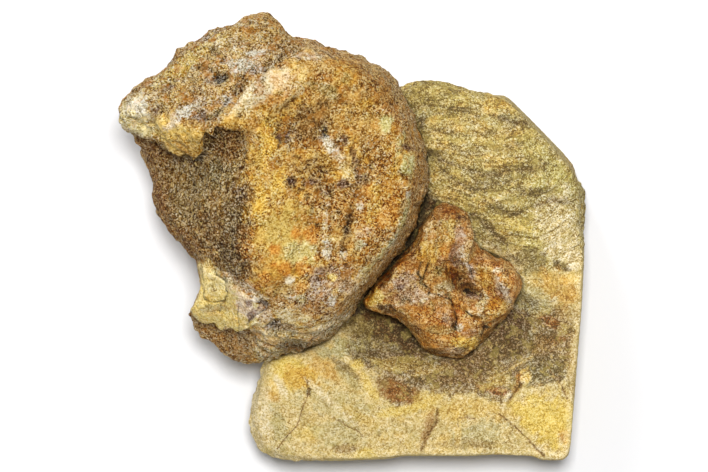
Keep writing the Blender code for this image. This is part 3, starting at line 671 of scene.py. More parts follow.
def vertebra_masks(skin):
    """Shares of the vertebra's regions on each vertex."""
    plan = skin.plan + (0.9 * skin.wobble + 0.7 * skin.ragged)[:, None]
    facing = skin.facing(-0.15, 0.5)
    masks = {
        "arch": inside(plan, ARCH_ZONE, 1.4) * facing,
        "flank": inside(plan, FLANK_ZONE, 1.2) * facing,
        "plate": inside(skin.plan + 0.5 * skin.wobble[:, None], PLATE_ZONE, 0.9) * facing,
        "break": inside(plan, BREAK_ZONE, 1.0) * facing,
        "lower": inside(plan, LOWER_WALL, 3.0) * facing,
    }
    masks["flank"] *= 1 - masks["plate"]
    used = np.clip(masks["arch"] + masks["flank"] + masks["plate"] + masks["break"], 0, 1)
    masks["face"] = (1 - used) * ease((skin.places[:, 2] - FACE_FOOT) / 12) * skin.facing(0.1, 0.4)
    masks["wall"] = 1 - np.clip(used + masks["face"], 0, 1)
    return masks


def curling(skin):
    """Ridges from -1 to 1 that curl round where the face turns down to the sandstone."""
    x, y = skin.plan.T
    return np.sin((y * 0.9 - 0.012 * (x + 22) ** 2 + 1.2 * skin.wobble) * 2.4)


def bone_texture(skin, masks):
    """Lumps, crusts and pores, each kind of bone with its own."""
    places = skin.places
    arch, flank, face = masks["arch"], masks["flank"], masks["face"]
    crust = fractal(places, 3.6, 11)
    pores = holes(places, 2.1, 21, 0.42, 0.25)
    small_pores = holes(places, 1.5, 25, 0.45, 0.3)
    height = 0.45 * fractal(places, 9, 1) + 0.22 * fractal(places, 3.0, 5)
    height += 0.22 * creased(places, 7, 19) + 0.12 * creased(places, 2.8, 20)
    height += arch * (1.1 * crust + 0.5 * fractal(places, 1.7, 15, 2) + 0.5 * creased(places, 6, 17))
    height -= flank * (0.7 * pores + 0.55 * small_pores - 0.5 * fractal(places, 4, 31, 2))
    height -= (0.9 * arch + 0.7 * masks["break"] + 0.22 * face) * pores * (crust < 0.3)
    height += face * (0.3 * fractal(places, 5.5, 41) - 0.25 * small_pores * (crust > 0.1))
    # Long shallow flutes run down the walls.
    x, y = (skin.plan - CENTRUM_MIDDLE).T
    around = np.arctan2(y, x)
    flutes = np.column_stack([np.cos(around) * 24, np.sin(around) * 24, places[:, 2] * 0.12])
    return height + masks["wall"] * (1.1 * fractal(flutes, 2.6, 51) + 0.8 * crust - 0.5 * pores)


def broken_edges(skin, masks):
    """The lips of the flank, the broken end, the plate and the rim, and the crest with its groove."""
    height = masks["plate"] * (0.8 + 0.5 * inside(skin.plan, PLATE_FLAKE, 0.6))
    height -= 1.6 * masks["flank"] * skin.stroke(FLANK_ZONE[:12], 9, 0)
    height -= 1.8 * masks["break"] * skin.stroke(BREAK_ZONE[:9], 7, 0)
    height -= 1.4 * masks["arch"] * skin.stroke(CREST, 2.0, 0)
    height += 0.8 * masks["face"] * skin.stroke([(x + 2, y - 2) for x, y in CREST], 2.2, 0)
    return height + 0.5 * masks["face"] * skin.stroke(RIM_LINE, 2.0, 0)


def vertebra_relief(skin, masks):
    """The vertebra's modelled surface: texture, broken edges, swirls, hollows, blisters and cracks."""
    height = bone_texture(skin, masks) + broken_edges(skin, masks) + 0.6 * masks["lower"] * curling(skin)
    for x, y, radius, rise in VERTEBRA_PITS:
        height += rise * skin.spot(x, y, radius, radius * 0.85, 30) * skin.facing(-0.2, 0.4)
    for x, y, radius in BLISTERS:
        height += 0.35 * skin.spot(x, y, radius, radius)
    for line, half_width, depth in VERTEBRA_CRACKS:
        height -= depth * skin.stroke(line, half_width) * skin.facing(0, 0.3)
    return height


def paint_vertebra(skin, masks):
    """The vertebra's colours, from the general mottling to the named patches, and its regions' looks."""
    large, middle, small = (fractal(skin.places, size, 100 + size) for size in (13, 6, 3))
    masks["rim"] = skin.spot(*UPPER_RIM) * skin.facing(-0.3, 0.5)
    for name, oval in ARCH_PARTS.items():
        masks[name] = skin.spot(*oval) * masks["arch"]
    paint_bone(skin, large, middle, small)
    paint_walls(skin, masks, large, middle, small)
    skin.patches(FACE_PATCHES, masks["face"])
    for x, y, radius in BLISTERS:
        skin.cover("orange", skin.spot(x, y, radius, radius) * 0.85 * masks["face"])
    paint_arch(skin, masks["arch"])
    skin.cover("ochre", 0.2 * masks["rim"] + 0.4 * masks["knob"])
    paint_flank(skin, masks["flank"])
    paint_corner(skin, masks)
    # Iron stains warm every surface that falls away from the face.
    sloping = np.clip(masks["wall"] + masks["break"] + masks["lower"] + masks["rim"], 0, 1)
    skin.cover("orange", 0.32 * sloping + 0.12 * masks["knob"])
    skin.patches(LOWER_WALL_PATCHES, skin.facing(0, 0.3))
    for line, half_width, _ in VERTEBRA_CRACKS:
        skin.cover("black_and_shade", skin.stroke(line, half_width * 1.15, 1.0) * 0.8 * skin.facing(0, 0.3))
    set_region_looks(skin, masks, middle)


def set_region_looks(skin, masks, middle):
    """Darkens or lightens each region, and sets how gritty and how spongy its bone is."""
    darker, grittier, spongier = (sum(looks[k] * masks[name] for name, looks in REGION_LOOKS.items())
                                  for k in range(3))
    skin.deepen(darker - 0.55 * skin.spot(*PALE_FOOT))
    skin.cover("ochre", 0.45 * masks["lobe"])
    skin.cover("yellow", 0.2 * masks["tip"])
    # The arch's tip is painted paler, as painted light against the shade of its steep slope.
    skin.deepen(-masks["tip"] - 0.1 * masks["lobe"])
    skin.grit = 0.6 + grittier + middle * (0.3 * masks["face"] + 0.2 * masks["arch"])
    for oval, amount in SMOOTH_SPOTS:
        skin.grit -= amount * skin.spot(*oval) * masks["face"]
    skin.sponge = 0.15 + spongier


def paint_bone(skin, large, middle, small):
    """The mottling that the whole vertebra shares."""
    skin.cover("tan", np.ones(skin.count))
    skin.mottle("ochre", 1.0, 0.5, 1.4, large)
    skin.mottle("orange", 0.75, 0.4, 1.5, middle)
    skin.mottle("brown", 0.8, -0.15, 1.8, small)
    skin.mottle("cream", 0.5, -0.35, 1.7, fractal(skin.places, 4, 130))
    skin.mottle("umber", 0.65, -0.4, 1.9, fractal(skin.places, 1.8, 120, 2))


def paint_walls(skin, masks, large, middle, small):
    """The walls, browner with darker hollows, and the dark rough rim at the upper right."""
    wall, rim = masks["wall"], masks["rim"]
    groove_side = wall * skin.spot(16, -8, 36, 12, 55)
    skin.cover("brown", wall * (0.3 + 0.3 * middle))
    skin.mottle("orange", wall * 0.85, 0.2, 1.8, large)
    skin.cover("rust", groove_side * 0.6)
    skin.mottle("orange", groove_side, -0.2, 2.2, middle)
    skin.mottle("umber", wall * 0.85 * (1 - masks["lower"]), -0.2, 2.4, small)
    skin.mottle("cream", wall * 0.35, -0.5, 1.7, middle)
    skin.cover("brown", rim * 0.95)
    skin.cover("rust", rim * 0.4)
    skin.cover("umber", rim * (0.4 + 0.6 * ease(0.3 + 1.6 * small)))
    skin.cover("moss", skin.spot(12, 63, 12, 3, -42) * 0.4)


def paint_arch(skin, arch):
    """The broken arch: tan with brown hollows, white crust and a yellow tip."""
    places = skin.places
    crust = fractal(places, 3.6, 11)
    speckle = fractal(places, 2.2, 141)
    edge = arch * ease(-zone_depth(skin.plan, ARCH_CORE) / 3)
    skin.cover("tan", arch * 0.85)
    skin.mottle("ochre", arch * 0.75, 0.2, 1.6, fractal(places, 9, 143, 2))
    skin.mottle("brown", arch * 0.7, -0.1, -2.2, crust)
    skin.mottle("cream", arch * 0.8, -0.15, 3.0, speckle)
    skin.mottle("brown", arch * 0.85, -0.45, -3.0, speckle)
    skin.mottle("orange", arch * 0.5, -0.1, 2.0, fractal(places, 4, 149))
    skin.mottle("yellow", arch * 0.4, 0.3, 1.6, fractal(places, 5, 147))
    # Darker towards the arch's outer edge, where it turns down: painted shade.
    skin.cover("brown", edge * 0.6)
    skin.mottle("umber", edge * 0.5, 0.2, 1.5, crust)
    skin.cover("orange", arch * 0.32)
    skin.patches(ARCH_PATCHES, arch)


def paint_flank(skin, flank):
    """The flank's spongy bone: grey-brown with black pores, warmer at the left edge."""
    places = skin.places
    skin.cover("brown", flank)
    skin.mottle("tan", flank * 0.35, 0.5, 1.5, fractal(places, 7, 153))
    skin.mottle("rust", flank * 0.35, 0.2, 1.6, fractal(places, 5, 155))
    skin.mottle("tan", flank * 0.6, -0.2, 1.7, fractal(places, 1.6, 151, 2))
    skin.cover("rust", flank * 0.7 * ease((-skin.plan[:, 0] - 69) / 9))
    skin.patches(FLANK_PATCHES, flank)
    skin.cover("black_and_shade", flank * 0.4 * holes(places, 2.1, 21, 0.48, 0.25))


def paint_corner(skin, masks):
    """The lower left corner: a yellow plate, its broken end, and the curling wall beside it."""
    plate, broken = masks["plate"], masks["break"]
    lower = masks["lower"] * (1 - plate)
    swirl = curling(skin)
    skin.cover("straw", plate * 0.85)
    skin.patches(CORNER_PATCHES, np.maximum(plate, masks["face"] * 0.8))
    skin.cover("brown", broken * 0.7)
    skin.patches(BREAK_PATCHES, np.clip(broken + masks["wall"] * skin.facing(0, 0.3), 0, 1))
    skin.mottle("umber", broken * 0.7, -0.2, 1.8, fractal(skin.places, 2.4, 161))
    skin.cover("cream", 0.6 * skin.stroke(CORNER_LIP, 1.1, 0))
    skin.cover("tan", lower * 0.7)
    skin.cover("yellow", lower * 0.6)
    skin.mottle("orange", lower * 0.6, 0.2, 1.6, fractal(skin.places, 6, 165))
    skin.mottle("brown", lower * 0.8, -0.5, -1.0, swirl)
    skin.mottle("cream", lower * 0.45, -0.3, 1.0, swirl)


# The smaller bone.
SMALL_BONE_CRACKS = [
    ([(26.5, -10.5), (25.4, -15), (27, -17), (26.5, -18.5), (30, -21), (29.5, -23.5)], 0.35, 0.8),
    ([(29.4, -10.8), (28.4, -14), (27.4, -17)], 0.3, 0.6),
    ([(30, -22.5), (34, -23.5), (37.5, -25)], 0.25, 0.4),
    ([(37.5, -23.2), (39.2, -27.7), (41, -33), (40.3, -36)], 0.35, 0.8),
    ([(45, -30), (47, -31.8), (49.6, -33)], 0.35, 0.7),
    ([(45.3, -10.5), (46.3, -13.5), (48, -17.6)], 0.35, 0.7),
    ([(52.8, -35.5), (51.5, -38.5), (50.5, -42)], 0.3, 0.4),
]
# Sharp ridges, and creases where the height is below 0: line, half width, height.
SMALL_BONE_FOLDS = [
    ([(45.1, 0.7), (44.4, -5.8), (45.1, -12.4), (48.8, -19.7), (52.4, -23.4)], 3.0, 1.9),
    ([(37.8, -13.1), (42.2, -18.2), (45.1, -22.3), (49.5, -23)], 2.4, -2.6),
    ([(33.4, 10.2), (29.8, 3.7), (27.6, -3.6), (24, -8.7), (17.4, -14.6), (13, -21.2), (6.4, -26.3)],
     2.8, 1.7),
    ([(27.6, -22.6), (36.4, -25.5), (40, -31.4)], 3.0, 1.3),
    ([(37.8, -24.1), (40, -28.5), (41.5, -32.8), (40.4, -36.5)], 1.5, -1.7),
    ([(43.7, -30.7), (49.5, -32.8)], 1.4, -1.3),
    ([(51.7, -35.8), (56.8, -35.4)], 1.4, -1.2),
    ([(45.1, -27), (48, -37.2)], 3.0, 1.2),
    ([(33, 3), (39, -1), (40, -8)], 2.2, -1.0),
    ([(27, -10), (31, -12.5), (38, -12)], 2.0, -1.2),
    ([(52, -12), (60, -20), (62, -28)], 3.0, 1.0),
    ([(18, -28), (28, -34), (36, -42)], 3.0, 1.0),
]
SMALL_BONE_PITS = [
    (44.9, -22.2, 1.7, -1.6),
    (40.3, -36.4, 1.5, -1.6),
    (52.6, -36.6, 1.3, -1.3),
    (47, -20.5, 2.4, -1.1),
    (37.6, -23.4, 0.9, -0.8),
    (13.5, -29, 2.4, -0.9),
]
SMALL_BONE_PATCHES = [
    ("rust", 37, 10, 9, 4, 0, 0.7),
    # Painted shadow, black, at the head's upper left, under the block's lip.
    ("black_and_shade", 28.5, 10.5, 4, 1.6, 55, 0.85),
    ("brown", 40, 5, 6, 4, 0, 0.5),
    ("tan", 29.3, 0.7, 4.5, 1.0, 80, 0.8),
    ("umber", 44, -20, 5, 2.6, -45, 0.7),
    ("brown", 42, -14, 2.4, 6, 10, 0.6),
    ("rust", 24, -8, 9, 2.4, 52, 0.6),
    ("rust", 54, -10, 9, 3, -30, 0.55),
    ("umber", 43, 6, 3, 3, 0, 0.45),
    ("ochre", 30.5, -5.5, 5, 4.5, 40, 0.85),
    ("sand", 37, 2.5, 4.5, 5, 30, 0.7),
    ("tan", 33, 0, 4, 5, 30, 0.5),
    ("lilac", 41.8, 0, 2.0, 5, 5, 0.75),
    ("lilac", 40, -8, 2.6, 4.5, 15, 0.7),
    ("chalk", 43, -6.5, 1.0, 2.6, 10, 0.55),
    ("moss", 33.6, -14.4, 3.4, 2.4, -30, 0.55),
    ("tan", 27.4, -14.0, 1.2, 4, -12, 0.7),
    ("tan", 31, -19, 5, 4, 30, 0.5),
    ("ash", 35.5, -20.5, 3.4, 2.8, 0, 0.4),
    ("lilac", 20, -18.5, 5.5, 3, 25, 0.65),
    ("plum", 18.6, -20.2, 2.0, 1.3, 20, 0.85),
    ("pink", 25.4, -24.2, 4.6, 3.2, 0, 0.6),
    ("lilac", 22.5, -24, 6, 4, 10, 0.4),
    ("slate", 21, -26.6, 2.0, 3.0, 0, 0.6),
    ("chalk", 27, -25.5, 1.6, 1.0, 0, 0.5),
    ("yellow", 8, -25, 4.2, 2.6, 40, 0.8),
    ("umber", 13.2, -28.8, 4.0, 1.7, 0, 0.8),
    ("pink", 35.5, -31, 5.0, 2.6, -50, 0.65),
    ("lilac", 38.5, -34, 3.4, 1.6, -30, 0.6),
    ("orange", 28, -33, 8, 4, -35, 0.65),
    ("orange", 33, -42, 8, 5, 10, 0.6),
    ("yellow", 45, -42.5, 5.0, 3.2, 20, 0.8),
    ("orange", 46, -36, 4, 4, 0, 0.7),
    ("moss", 34, -37.5, 5, 1.6, 0, 0.45),
    ("chalk", 42.2, -36.8, 1.0, 1.6, 0, 0.95),
    ("umber", 33, -46.5, 4, 1.4, -15, 0.7),
    ("pink", 39.5, -46.4, 3.6, 1.6, 0, 0.7),
    ("plum", 43, -45.5, 2.6, 1.2, 0, 0.6),
    ("lilac", 46, -39, 3, 1.8, 20, 0.5),
    ("chalk", 59.0, -20.8, 5.2, 1.7, -55, 0.75),
    ("lilac", 60, -22.5, 6.0, 2.4, -55, 0.6),
    ("lilac", 48.5, -23.8, 3.2, 1.6, 0, 0.65),
    ("lilac", 47, -15, 1.6, 4, 15, 0.6),
    ("ochre", 52, -16, 3, 5, 25, 0.5),
    ("orange", 63.5, -21, 2.2, 7, 10, 0.6),
    ("ochre", 57, -29, 6, 3, 25, 0.5),
    ("ash", 50.5, -27.5, 2.0, 3.6, -20, 0.5),
    ("chalk", 57.4, -13.6, 1.5, 1.1, 0, 0.7),
    ("umber", 46.5, -20.5, 4.2, 1.5, -42, 0.85),
    # Black in the three deepest pits: painted shade.
    ("black_and_shade", 44.9, -22.2, 1.6, 1.2, 0, 0.95),
    ("black_and_shade", 40.2, -36.2, 1.2, 1.4, 0, 0.95),
    ("black_and_shade", 52.6, -36.6, 1.4, 0.9, -20, 0.9),
    ("umber", 52, -40, 3.0, 2.6, 0, 0.45),
]
# The walls' steep side towards the vertebra, the strip above it, and two flakes beside the zigzag crack.
STEEP_SIDE = [(33, 13), (20, -8), (2, -28)]
GROOVE_STRIP = [(27.2, 10.2), (25.4, 3.7), (22.5, -2.2), (18.1, -8), (9.4, -19.7), (2.8, -28.5)]
SMALL_BONE_FLAKES = [(26.5, -10.5), (25.4, -15), (27, -17), (29.5, -21), (38, -24), (38, -14), (31, -9)]


def fold_distance(skin, line, half_width):
    """Distance to a ridge or crease, in its half widths."""
    return line_distance(skin.plan + 0.6 * skin.wobble[:, None], line) / half_width


def small_bone_relief(skin):
    """The smaller bone's surface: smoother, with creases, two flakes, pits and cracks."""
    places = skin.places
    facing = skin.facing(0, 0.3)
    height = 0.35 * fractal(places, 8, 201) + 0.2 * fractal(places, 3.2, 205)
    height += 0.1 * fractal(places, 1.5, 209, 2)
    height += 0.5 * creased(places, 8, 211) + 0.3 * creased(places, 3.6, 213)
    height -= 0.35 * holes(places, 3.2, 221, 0.3, 0.2)
    height += 0.5 * inside(skin.plan, SMALL_BONE_FLAKES, 0.8) * facing
    for x, y, radius, rise in SMALL_BONE_PITS:
        height += rise * skin.spot(x, y, radius, radius * 0.8) * facing
    for line, half_width, depth in SMALL_BONE_CRACKS:
        height -= 1.3 * depth * skin.stroke(line, half_width * 1.3, 0.3) * facing
    for line, half_width, rise in SMALL_BONE_FOLDS:
        height += 1.35 * rise * np.exp(-fold_distance(skin, line, half_width)) * facing
    return height


def paint_small_bone(skin):
    """The smaller bone's colours: orange-brown with lilac-grey patches and ochre highlights, with painted
    highlight on its ridges and painted shade in its creases, on its steep side and in its gaps.
    """
    places = skin.places
    middle, small = fractal(places, 4, 235), fractal(places, 1.8, 239, 2)
    skin.cover("orange", np.ones(skin.count))
    skin.mottle("brown", 0.75, 0.35, 1.4, fractal(places, 9, 231))
    skin.mottle("tan", 0.8, 0.2, 1.8, middle)
    skin.mottle("pink", 0.35, -0.1, 1.8, fractal(places, 5, 247))
    skin.mottle("rust", 0.6, -0.2, 1.7, fractal(places, 6, 243))
    skin.mottle("sand", 0.45, -0.35, 1.7, small)
    skin.mottle("umber", 0.55, -0.45, -1.8, small)
    skin.patches(SMALL_BONE_PATCHES, skin.facing(-0.1, 0.4))
    # Paler on the crests and darker in the troughs of the same noise that raises them: painted highlight and
    # painted shade.
    skin.deepen(0.15 - 0.22 * creased(places, 3.6, 213) - 0.18 * creased(places, 8, 211))
    # The walls are painted darker towards the bottom, and the steep side towards the vertebra darker still as
    # painted shade.
    skin.cover("umber", 0.65 * ease((40 - places[:, 2]) / 14))
    skin.cover("umber", 0.4 * beside(skin.plan, [STEEP_SIDE], 12, 12) * (1 - skin.facing(0, 0.5)))
    for line, half_width, _ in SMALL_BONE_CRACKS:
        skin.cover("black_and_shade", skin.stroke(line, half_width * 1.1, 0.3) * 0.95 * skin.facing(0, 0.3))
    # Paler along the ridges and darker in the creases: painted highlight and painted shade.
    for line, half_width, rise in SMALL_BONE_FOLDS:
        skin.deepen(-0.38 * rise * np.exp(-1.6 * fold_distance(skin, line, half_width)))
    # The strip beside the groove lies in deep shade and dirt.
    skin.deepen(1.1 * beside(skin.plan, [GROOVE_STRIP], 3.2 + 0.8 * skin.wobble, 2.0))
    skin.grit = 0.55 + 0.3 * middle


# The sandstone block.
SAWN_RIGHT = [(93.4, -8), (92.2, -30), (90.2, -55), (87.6, -90)]
SAWN_LOWER = [(87, -90), (73, -89.3), (46, -89.3), (20, -89.2), (-8, -91)]
SAWN_SLANT = [(61, 56.5), (71.3, 46.0), (79.4, 37.5), (89.5, 26.5)]
SAWN_SIDES = [SAWN_RIGHT, SAWN_LOWER]
LEFT_END = [(-37, -52), (-42, -60), (-45, -72), (-43.5, -85), (-34, -90)]
LEDGE = [(54, -59), (62, -55.5), (72, -49.5), (80, -47)]
HOLLOW_ZONE = [(0, -27), (10, -27), (24, -40), (34, -50), (52, -48), (62, -34), (72, -36), (70, -48)]
HOLLOW_ZONE += [(56, -55), (30, -55), (14, -52), (0, -44), (-4, -36)]
SHADE_ZONE = [(-4, -44), (2, -52), (12, -56), (18, -67), (28, -63), (43, -63.5), (60, -66), (64, -62)]
SHADE_ZONE += [(73, -60), (84, -60), (87, -52), (88, -38), (83, -30), (73, -25), (50, -30), (30, -40)]
SHADE_ZONE += [(10, -34)]
GROOVE = [(27, 14), (20, -4), (10, -18), (1, -29)]
# Small knobs, and pits where the height is below 0: height, then x, y, half length, half width, turn.
BLOCK_KNOBS = [(0.6, (68.7, -56.8, 2.6, 3.0)), (0.5, (62.4, -64.4, 2.6, 1.6, 45))]
BLOCK_KNOBS += [(-1.0, (27.3, 46.2, 1.8, 2.6)), (-0.9, (31.3, 33, 2.6, 1.4))]
BLOCK_KNOBS += [(-0.6, (-18.3, -63.4, 0.6, 1.8))]
BLOCK_CRACKS = [
    ([(-19.5, -57), (-18.3, -63.8), (-21.2, -70.7), (-22.9, -76.5), (-26.4, -80), (-31, -86)], 0.3, 0.5),
    ([(33.8, -69.6), (33.2, -75.3), (30.6, -79.3), (27.4, -86)], 0.6, 1.0),
    ([(42.3, -73.6), (45, -73), (48.8, -73.4)], 0.4, 0.4),
    ([(41.5, -74), (42.2, -77)], 0.35, 0.3),
    ([(59, -71.9), (67, -79), (72, -84), (77, -89)], 0.45, 0.6),
    ([(-8.5, -73), (-2, -77), (4.2, -81)], 0.25, 0.3),
    ([(67.5, -60), (65.5, -62.5), (62.5, -67)], 0.6, 0.9),
    ([(70.5, -54.5), (66.2, -57), (67, -61)], 0.45, 0.6),
    ([(78, -52), (83, -60), (86, -66)], 0.4, 0.4),
]
# Bedding lines to be seen on the upper right: line, half width, strength.
BEDS = [
    ([(58, 47.6), (64, 45.8), (70, 44.8)], 0.9, 1.0),
    ([(42, 50.5), (50, 48), (56, 48.5)], 0.7, 0.5),
    ([(34, 30), (42, 28.6), (47, 26.2), (52, 24), (58, 24.6), (64, 27), (76, 26.6)], 1.1, 0.9),
    ([(36, 26), (41, 22), (46, 19.5), (52, 19), (57, 18.5)], 0.9, 0.8),
    ([(48, 22), (53, 20.5), (60, 21.5), (68, 24)], 0.8, 0.6),
    ([(66, 19.5), (72, 16.5), (80, 18)], 0.9, 0.7),
    ([(47, 9), (52, 5.5), (58, 0), (62, -3)], 1.0, 1.0),
    ([(45, 3), (52, -1.5), (60, -6), (66, -11)], 0.8, 0.8),
    ([(56, 12), (64, 8.5), (72, 12), (80, 14.5), (87, 13)], 0.8, 0.7),
    ([(50, 15), (58, 11), (66, 8)], 0.7, 0.6),
    ([(24, 52), (36, 52.5), (46, 50)], 0.8, 0.5),
    ([(32, 42), (44, 40), (56, 42)], 0.7, 0.5),
    ([(44, 37), (58, 34.5), (68, 37)], 0.7, 0.5),
    ([(64, 32), (74, 30), (82, 28)], 0.7, 0.5),
]
BLOCK_PATCHES = [
    # Upper right, laminated.
    ("moss", 27, 54, 13, 6, -10, 0.6),
    ("moss", 26, 44, 5, 9, 0, 0.6),
    ("olive", 30, 61, 12, 3, -5, 0.5),
    ("slate", 27.3, 46.2, 1.8, 2.6, 0, 0.8),
    ("slate", 31.3, 33, 2.6, 1.4, -20, 0.85),
    ("ash", 24, 49.5, 7, 1.6, 0, 0.45),
    ("ash", 62, 47.6, 6, 1.4, -5, 0.7),
    ("ash", 48, 44, 6, 1.2, 5, 0.4),
    ("sand", 62, 54, 8, 3, -15, 0.5),
    ("lichen", 82, 20, 9, 8, 30, 0.85),
    ("lichen", 72, 35, 8, 4, -35, 0.5),
    ("ash", 87, 12, 4, 9, 10, 0.6),
    ("ash", 60, 23, 10, 2.4, 10, 0.45),
    ("slate", 72, 17.5, 6, 1.8, 10, 0.5),
    ("slate", 49, 18, 4, 1.2, -20, 0.6),
    ("orange", 79.5, 14.2, 6, 1.2, 12, 0.6),
    ("straw", 82, 10.5, 7, 2.4, 10, 0.45),
    ("slate", 56, 0.5, 8, 1.8, -42, 0.5),
    ("ash", 49, -3.5, 2.8, 2.4, -40, 0.8),
    ("straw", 90.5, -2, 1.6, 6, 5, 0.6),
    ("straw", 70, 3, 10, 3, -15, 0.4),
    # Painted shadow, black, in the gap between the block's lip and the smaller bone's top.
    ("black_and_shade", 30.5, 12.5, 5, 1.5, 12, 0.9),
    ("black_and_shade", 35, 11, 3, 1.2, -35, 0.6),
    # Right middle.
    ("lichen", 80, 0, 13, 20, 0, 0.45),
    ("chalk", 82, 5, 9, 14, 0, 0.55),
    ("chalk", 84, -8, 7, 12, 0, 0.3),
    ("slate", 72, -10, 8, 4.5, -20, 0.55),
    ("slate", 84.5, -12.3, 5, 1.8, -20, 0.75),
    ("chalk", 88.5, -9.5, 3, 4, 0, 0.7),
    ("cream", 87, -17, 4, 2.4, 0, 0.6),
    ("ochre", 82, -21, 9, 6, -40, 0.5),
    ("ash", 71, -26, 9, 5, -20, 0.6),
    ("slate", 70, -27, 6, 3, -20, 0.4),
    ("rust", 79, -34.8, 4.5, 2.0, -22, 0.75),
    ("brown", 85, -33, 5, 5, 0, 0.4),
    ("rust", 82, -42, 4, 1.4, 10, 0.5),
    # Iron stain beside the smaller bone.
    ("umber", 63, -38, 11, 6, 30, 0.6),
    ("plum", 63, -36.5, 7, 5, 30, 0.4),
    ("brown", 50, -50, 17, 5.5, 14, 0.4),
    ("slate", 66, -45, 14, 4, 20, 0.5),
    ("cream", 31, -54.5, 8, 2.2, 3, 0.5),
    ("ash", 75, -56, 7, 4, 15, 0.6),
    ("brown", 77, -44, 8, 4, 10, 0.5),
    ("slate", 76, -54, 9, 5, 20, 0.6),
    ("brown", 88, -46, 3, 9, 0, 0.45),
    ("umber", 88.5, -60, 1.8, 6, 5, 0.5),
    ("slate", 33, -57.5, 10, 2.4, 8, 0.55),
    ("brown", 40, -58, 14, 2.0, 0, 0.4),
    ("rust", 57, -62.4, 7, 1.6, -14, 0.7),
    ("sand", 57, -59, 6, 2, 25, 0.5),
    ("cream", 68.7, -56.8, 2.4, 3.0, 0, 0.9),
    ("orange", 66.5, -57.5, 1.2, 2.4, 0, 0.6),
    ("chalk", 62.4, -64.6, 2.4, 1.4, 45, 0.9),
    ("chalk", 60.5, -69, 1.6, 1.4, 0, 0.6),
    ("tan", 65.5, -61.5, 2.8, 1.3, 45, 0.7),
    # Hollow below the smaller bone; the dark brown and black patches under the bone's edge are painted
    # shadow.
    ("moss", 8, -37, 12, 6, 15, 0.7),
    ("umber", 18, -40, 12, 6, -40, 0.8),
    ("black_and_shade", 20, -38.5, 9, 4.5, -45, 0.7),
    ("umber", 10, -32.5, 8, 3, 0, 0.7),
    ("ash", -5.6, -44.8, 3.2, 5, 5, 0.8),
    ("ash", -12, -47.8, 3.2, 2.6, 0, 0.75),
    ("ash", 3, -43.6, 4.4, 2.4, -15, 0.6),
    ("ash", -14, -43.5, 3, 2, 20, 0.4),
    ("ash", 17, -45.5, 3, 2, -30, 0.45),
    ("slate", 6, -49, 7, 2.6, -10, 0.55),
    ("sand", 20, -52, 11, 2.6, -4, 0.6),
    # Lower left.
    ("straw", -25, -55, 10, 6, -10, 0.9),
    ("ochre", -22, -57, 7, 4, -10, 0.5),
    ("olive", -34, -50, 4, 4, 0, 0.5),
    ("ochre", -12, -53, 8, 4, -20, 0.4),
    ("slate", -4, -53, 7, 1.6, -38, 0.55),
    ("ash", -2, -57.5, 8, 1.6, -40, 0.5),
    ("chalk", -30, -60, 1.8, 6.0, 24, 0.75),
    ("cream", -33, -61, 2, 5, 20, 0.6),
    ("ochre", -32.5, -65, 3, 2, -20, 0.4),
    ("chalk", -37, -71, 4, 9, 5, 0.5),
    ("ash", -30, -76, 3, 9, 12, 0.5),
    ("umber", -18.3, -62.8, 0.7, 1.8, -12, 0.85),
    ("straw", 1.5, -51.7, 2.2, 1.8, 0, 0.7),
    ("straw", -18, -79, 5, 3, 0, 0.4),
    ("ash", -7, -68, 14, 5, -10, 0.4),
    ("ash", -5, -80, 10, 5, -20, 0.4),
    ("sand", 2, -73, 8, 2.4, -30, 0.4),
    ("chalk", -12, -64, 9, 1.2, -42, 0.5),
    ("chalk", -6, -70, 10, 1.2, -40, 0.4),
    ("ash", -14, -80, 9, 1.6, -38, 0.4),
    ("brown", -3, -86, 5, 2, 0, 0.4),
    ("straw", 4.4, -88.6, 5, 2.6, 0, 0.9),
    ("straw", -36, -88, 3, 2, 0, 0.6),
    # Brown patch with a yellow edge.
    ("brown", 17, -63, 8.5, 5, -25, 0.6),
    ("rust", 18, -64, 7, 3.6, -20, 0.55),
    ("straw", 6.5, -61, 2, 6, 28, 0.55),
    ("straw", 18, -70.5, 10, 2.2, 8, 0.6),
    ("straw", 30, -66, 6, 2.6, 15, 0.45),
    # Lower right.
    ("straw", 79, -75, 12, 9, -30, 0.85),
    ("straw", 69, -72, 9, 2.6, -42, 0.7),
    ("sand", 47, -69.5, 16, 3.5, 3, 0.5),
    ("ash", 51, -80, 11, 5, 10, 0.55),
    ("brown", 46, -84, 10, 2, 0, 0.3),
    ("rust", 29.5, -77.5, 2.0, 7, -20, 0.4),
    ("cream", 42, -77, 1.2, 7, 0, 0.4),
    ("chalk", 75, -86, 2, 1.6, 0, 0.6),
    ("orange", 85, -81, 3, 3, 0, 0.4),
]


def bed_level(skin):
    """How high each vertex lies in the stack of beds, which sag towards the block's middle."""
    x, y = skin.plan.T
    lower = ease((50 - y) / 50)
    sag = (2 + 8 * lower) * np.exp(-(((x - 57) / np.where(x < 57, 24, 42)) ** 2))
    drift = 0.04 * (x - 55)
    waves = 1.5 * soft_noise(skin.places, 15, 77) + 0.45 * soft_noise(skin.places, 5, 78)
    return 0.75 * (y + sag + drift) + 0.65 * skin.places[:, 2] + waves


def bed_places(skin, thinness):
    """Places drawn together along the beds, so that noise on them comes out as long thin streaks."""
    x, y = skin.plan.T
    return np.column_stack([x * ALONG_BEDS, bed_level(skin) * thinness, y * ALONG_BEDS])


def bed_lines(skin, thickness, seed):
    """Variation from -1 to 1 that runs in long thin streaks along the beds."""
    return fractal(bed_places(skin, 1 / thickness), 1.0, seed, 3, 0.7)


def sawn_side(skin):
    """1 on the block's sawn sides, 0 on its natural surface."""
    near = np.maximum(beside(skin.plan, SAWN_SIDES, 5.0, 2), beside(skin.plan, [SAWN_SLANT], 6.0, 2))
    return near * (1 - skin.facing(0.47, 0.25))


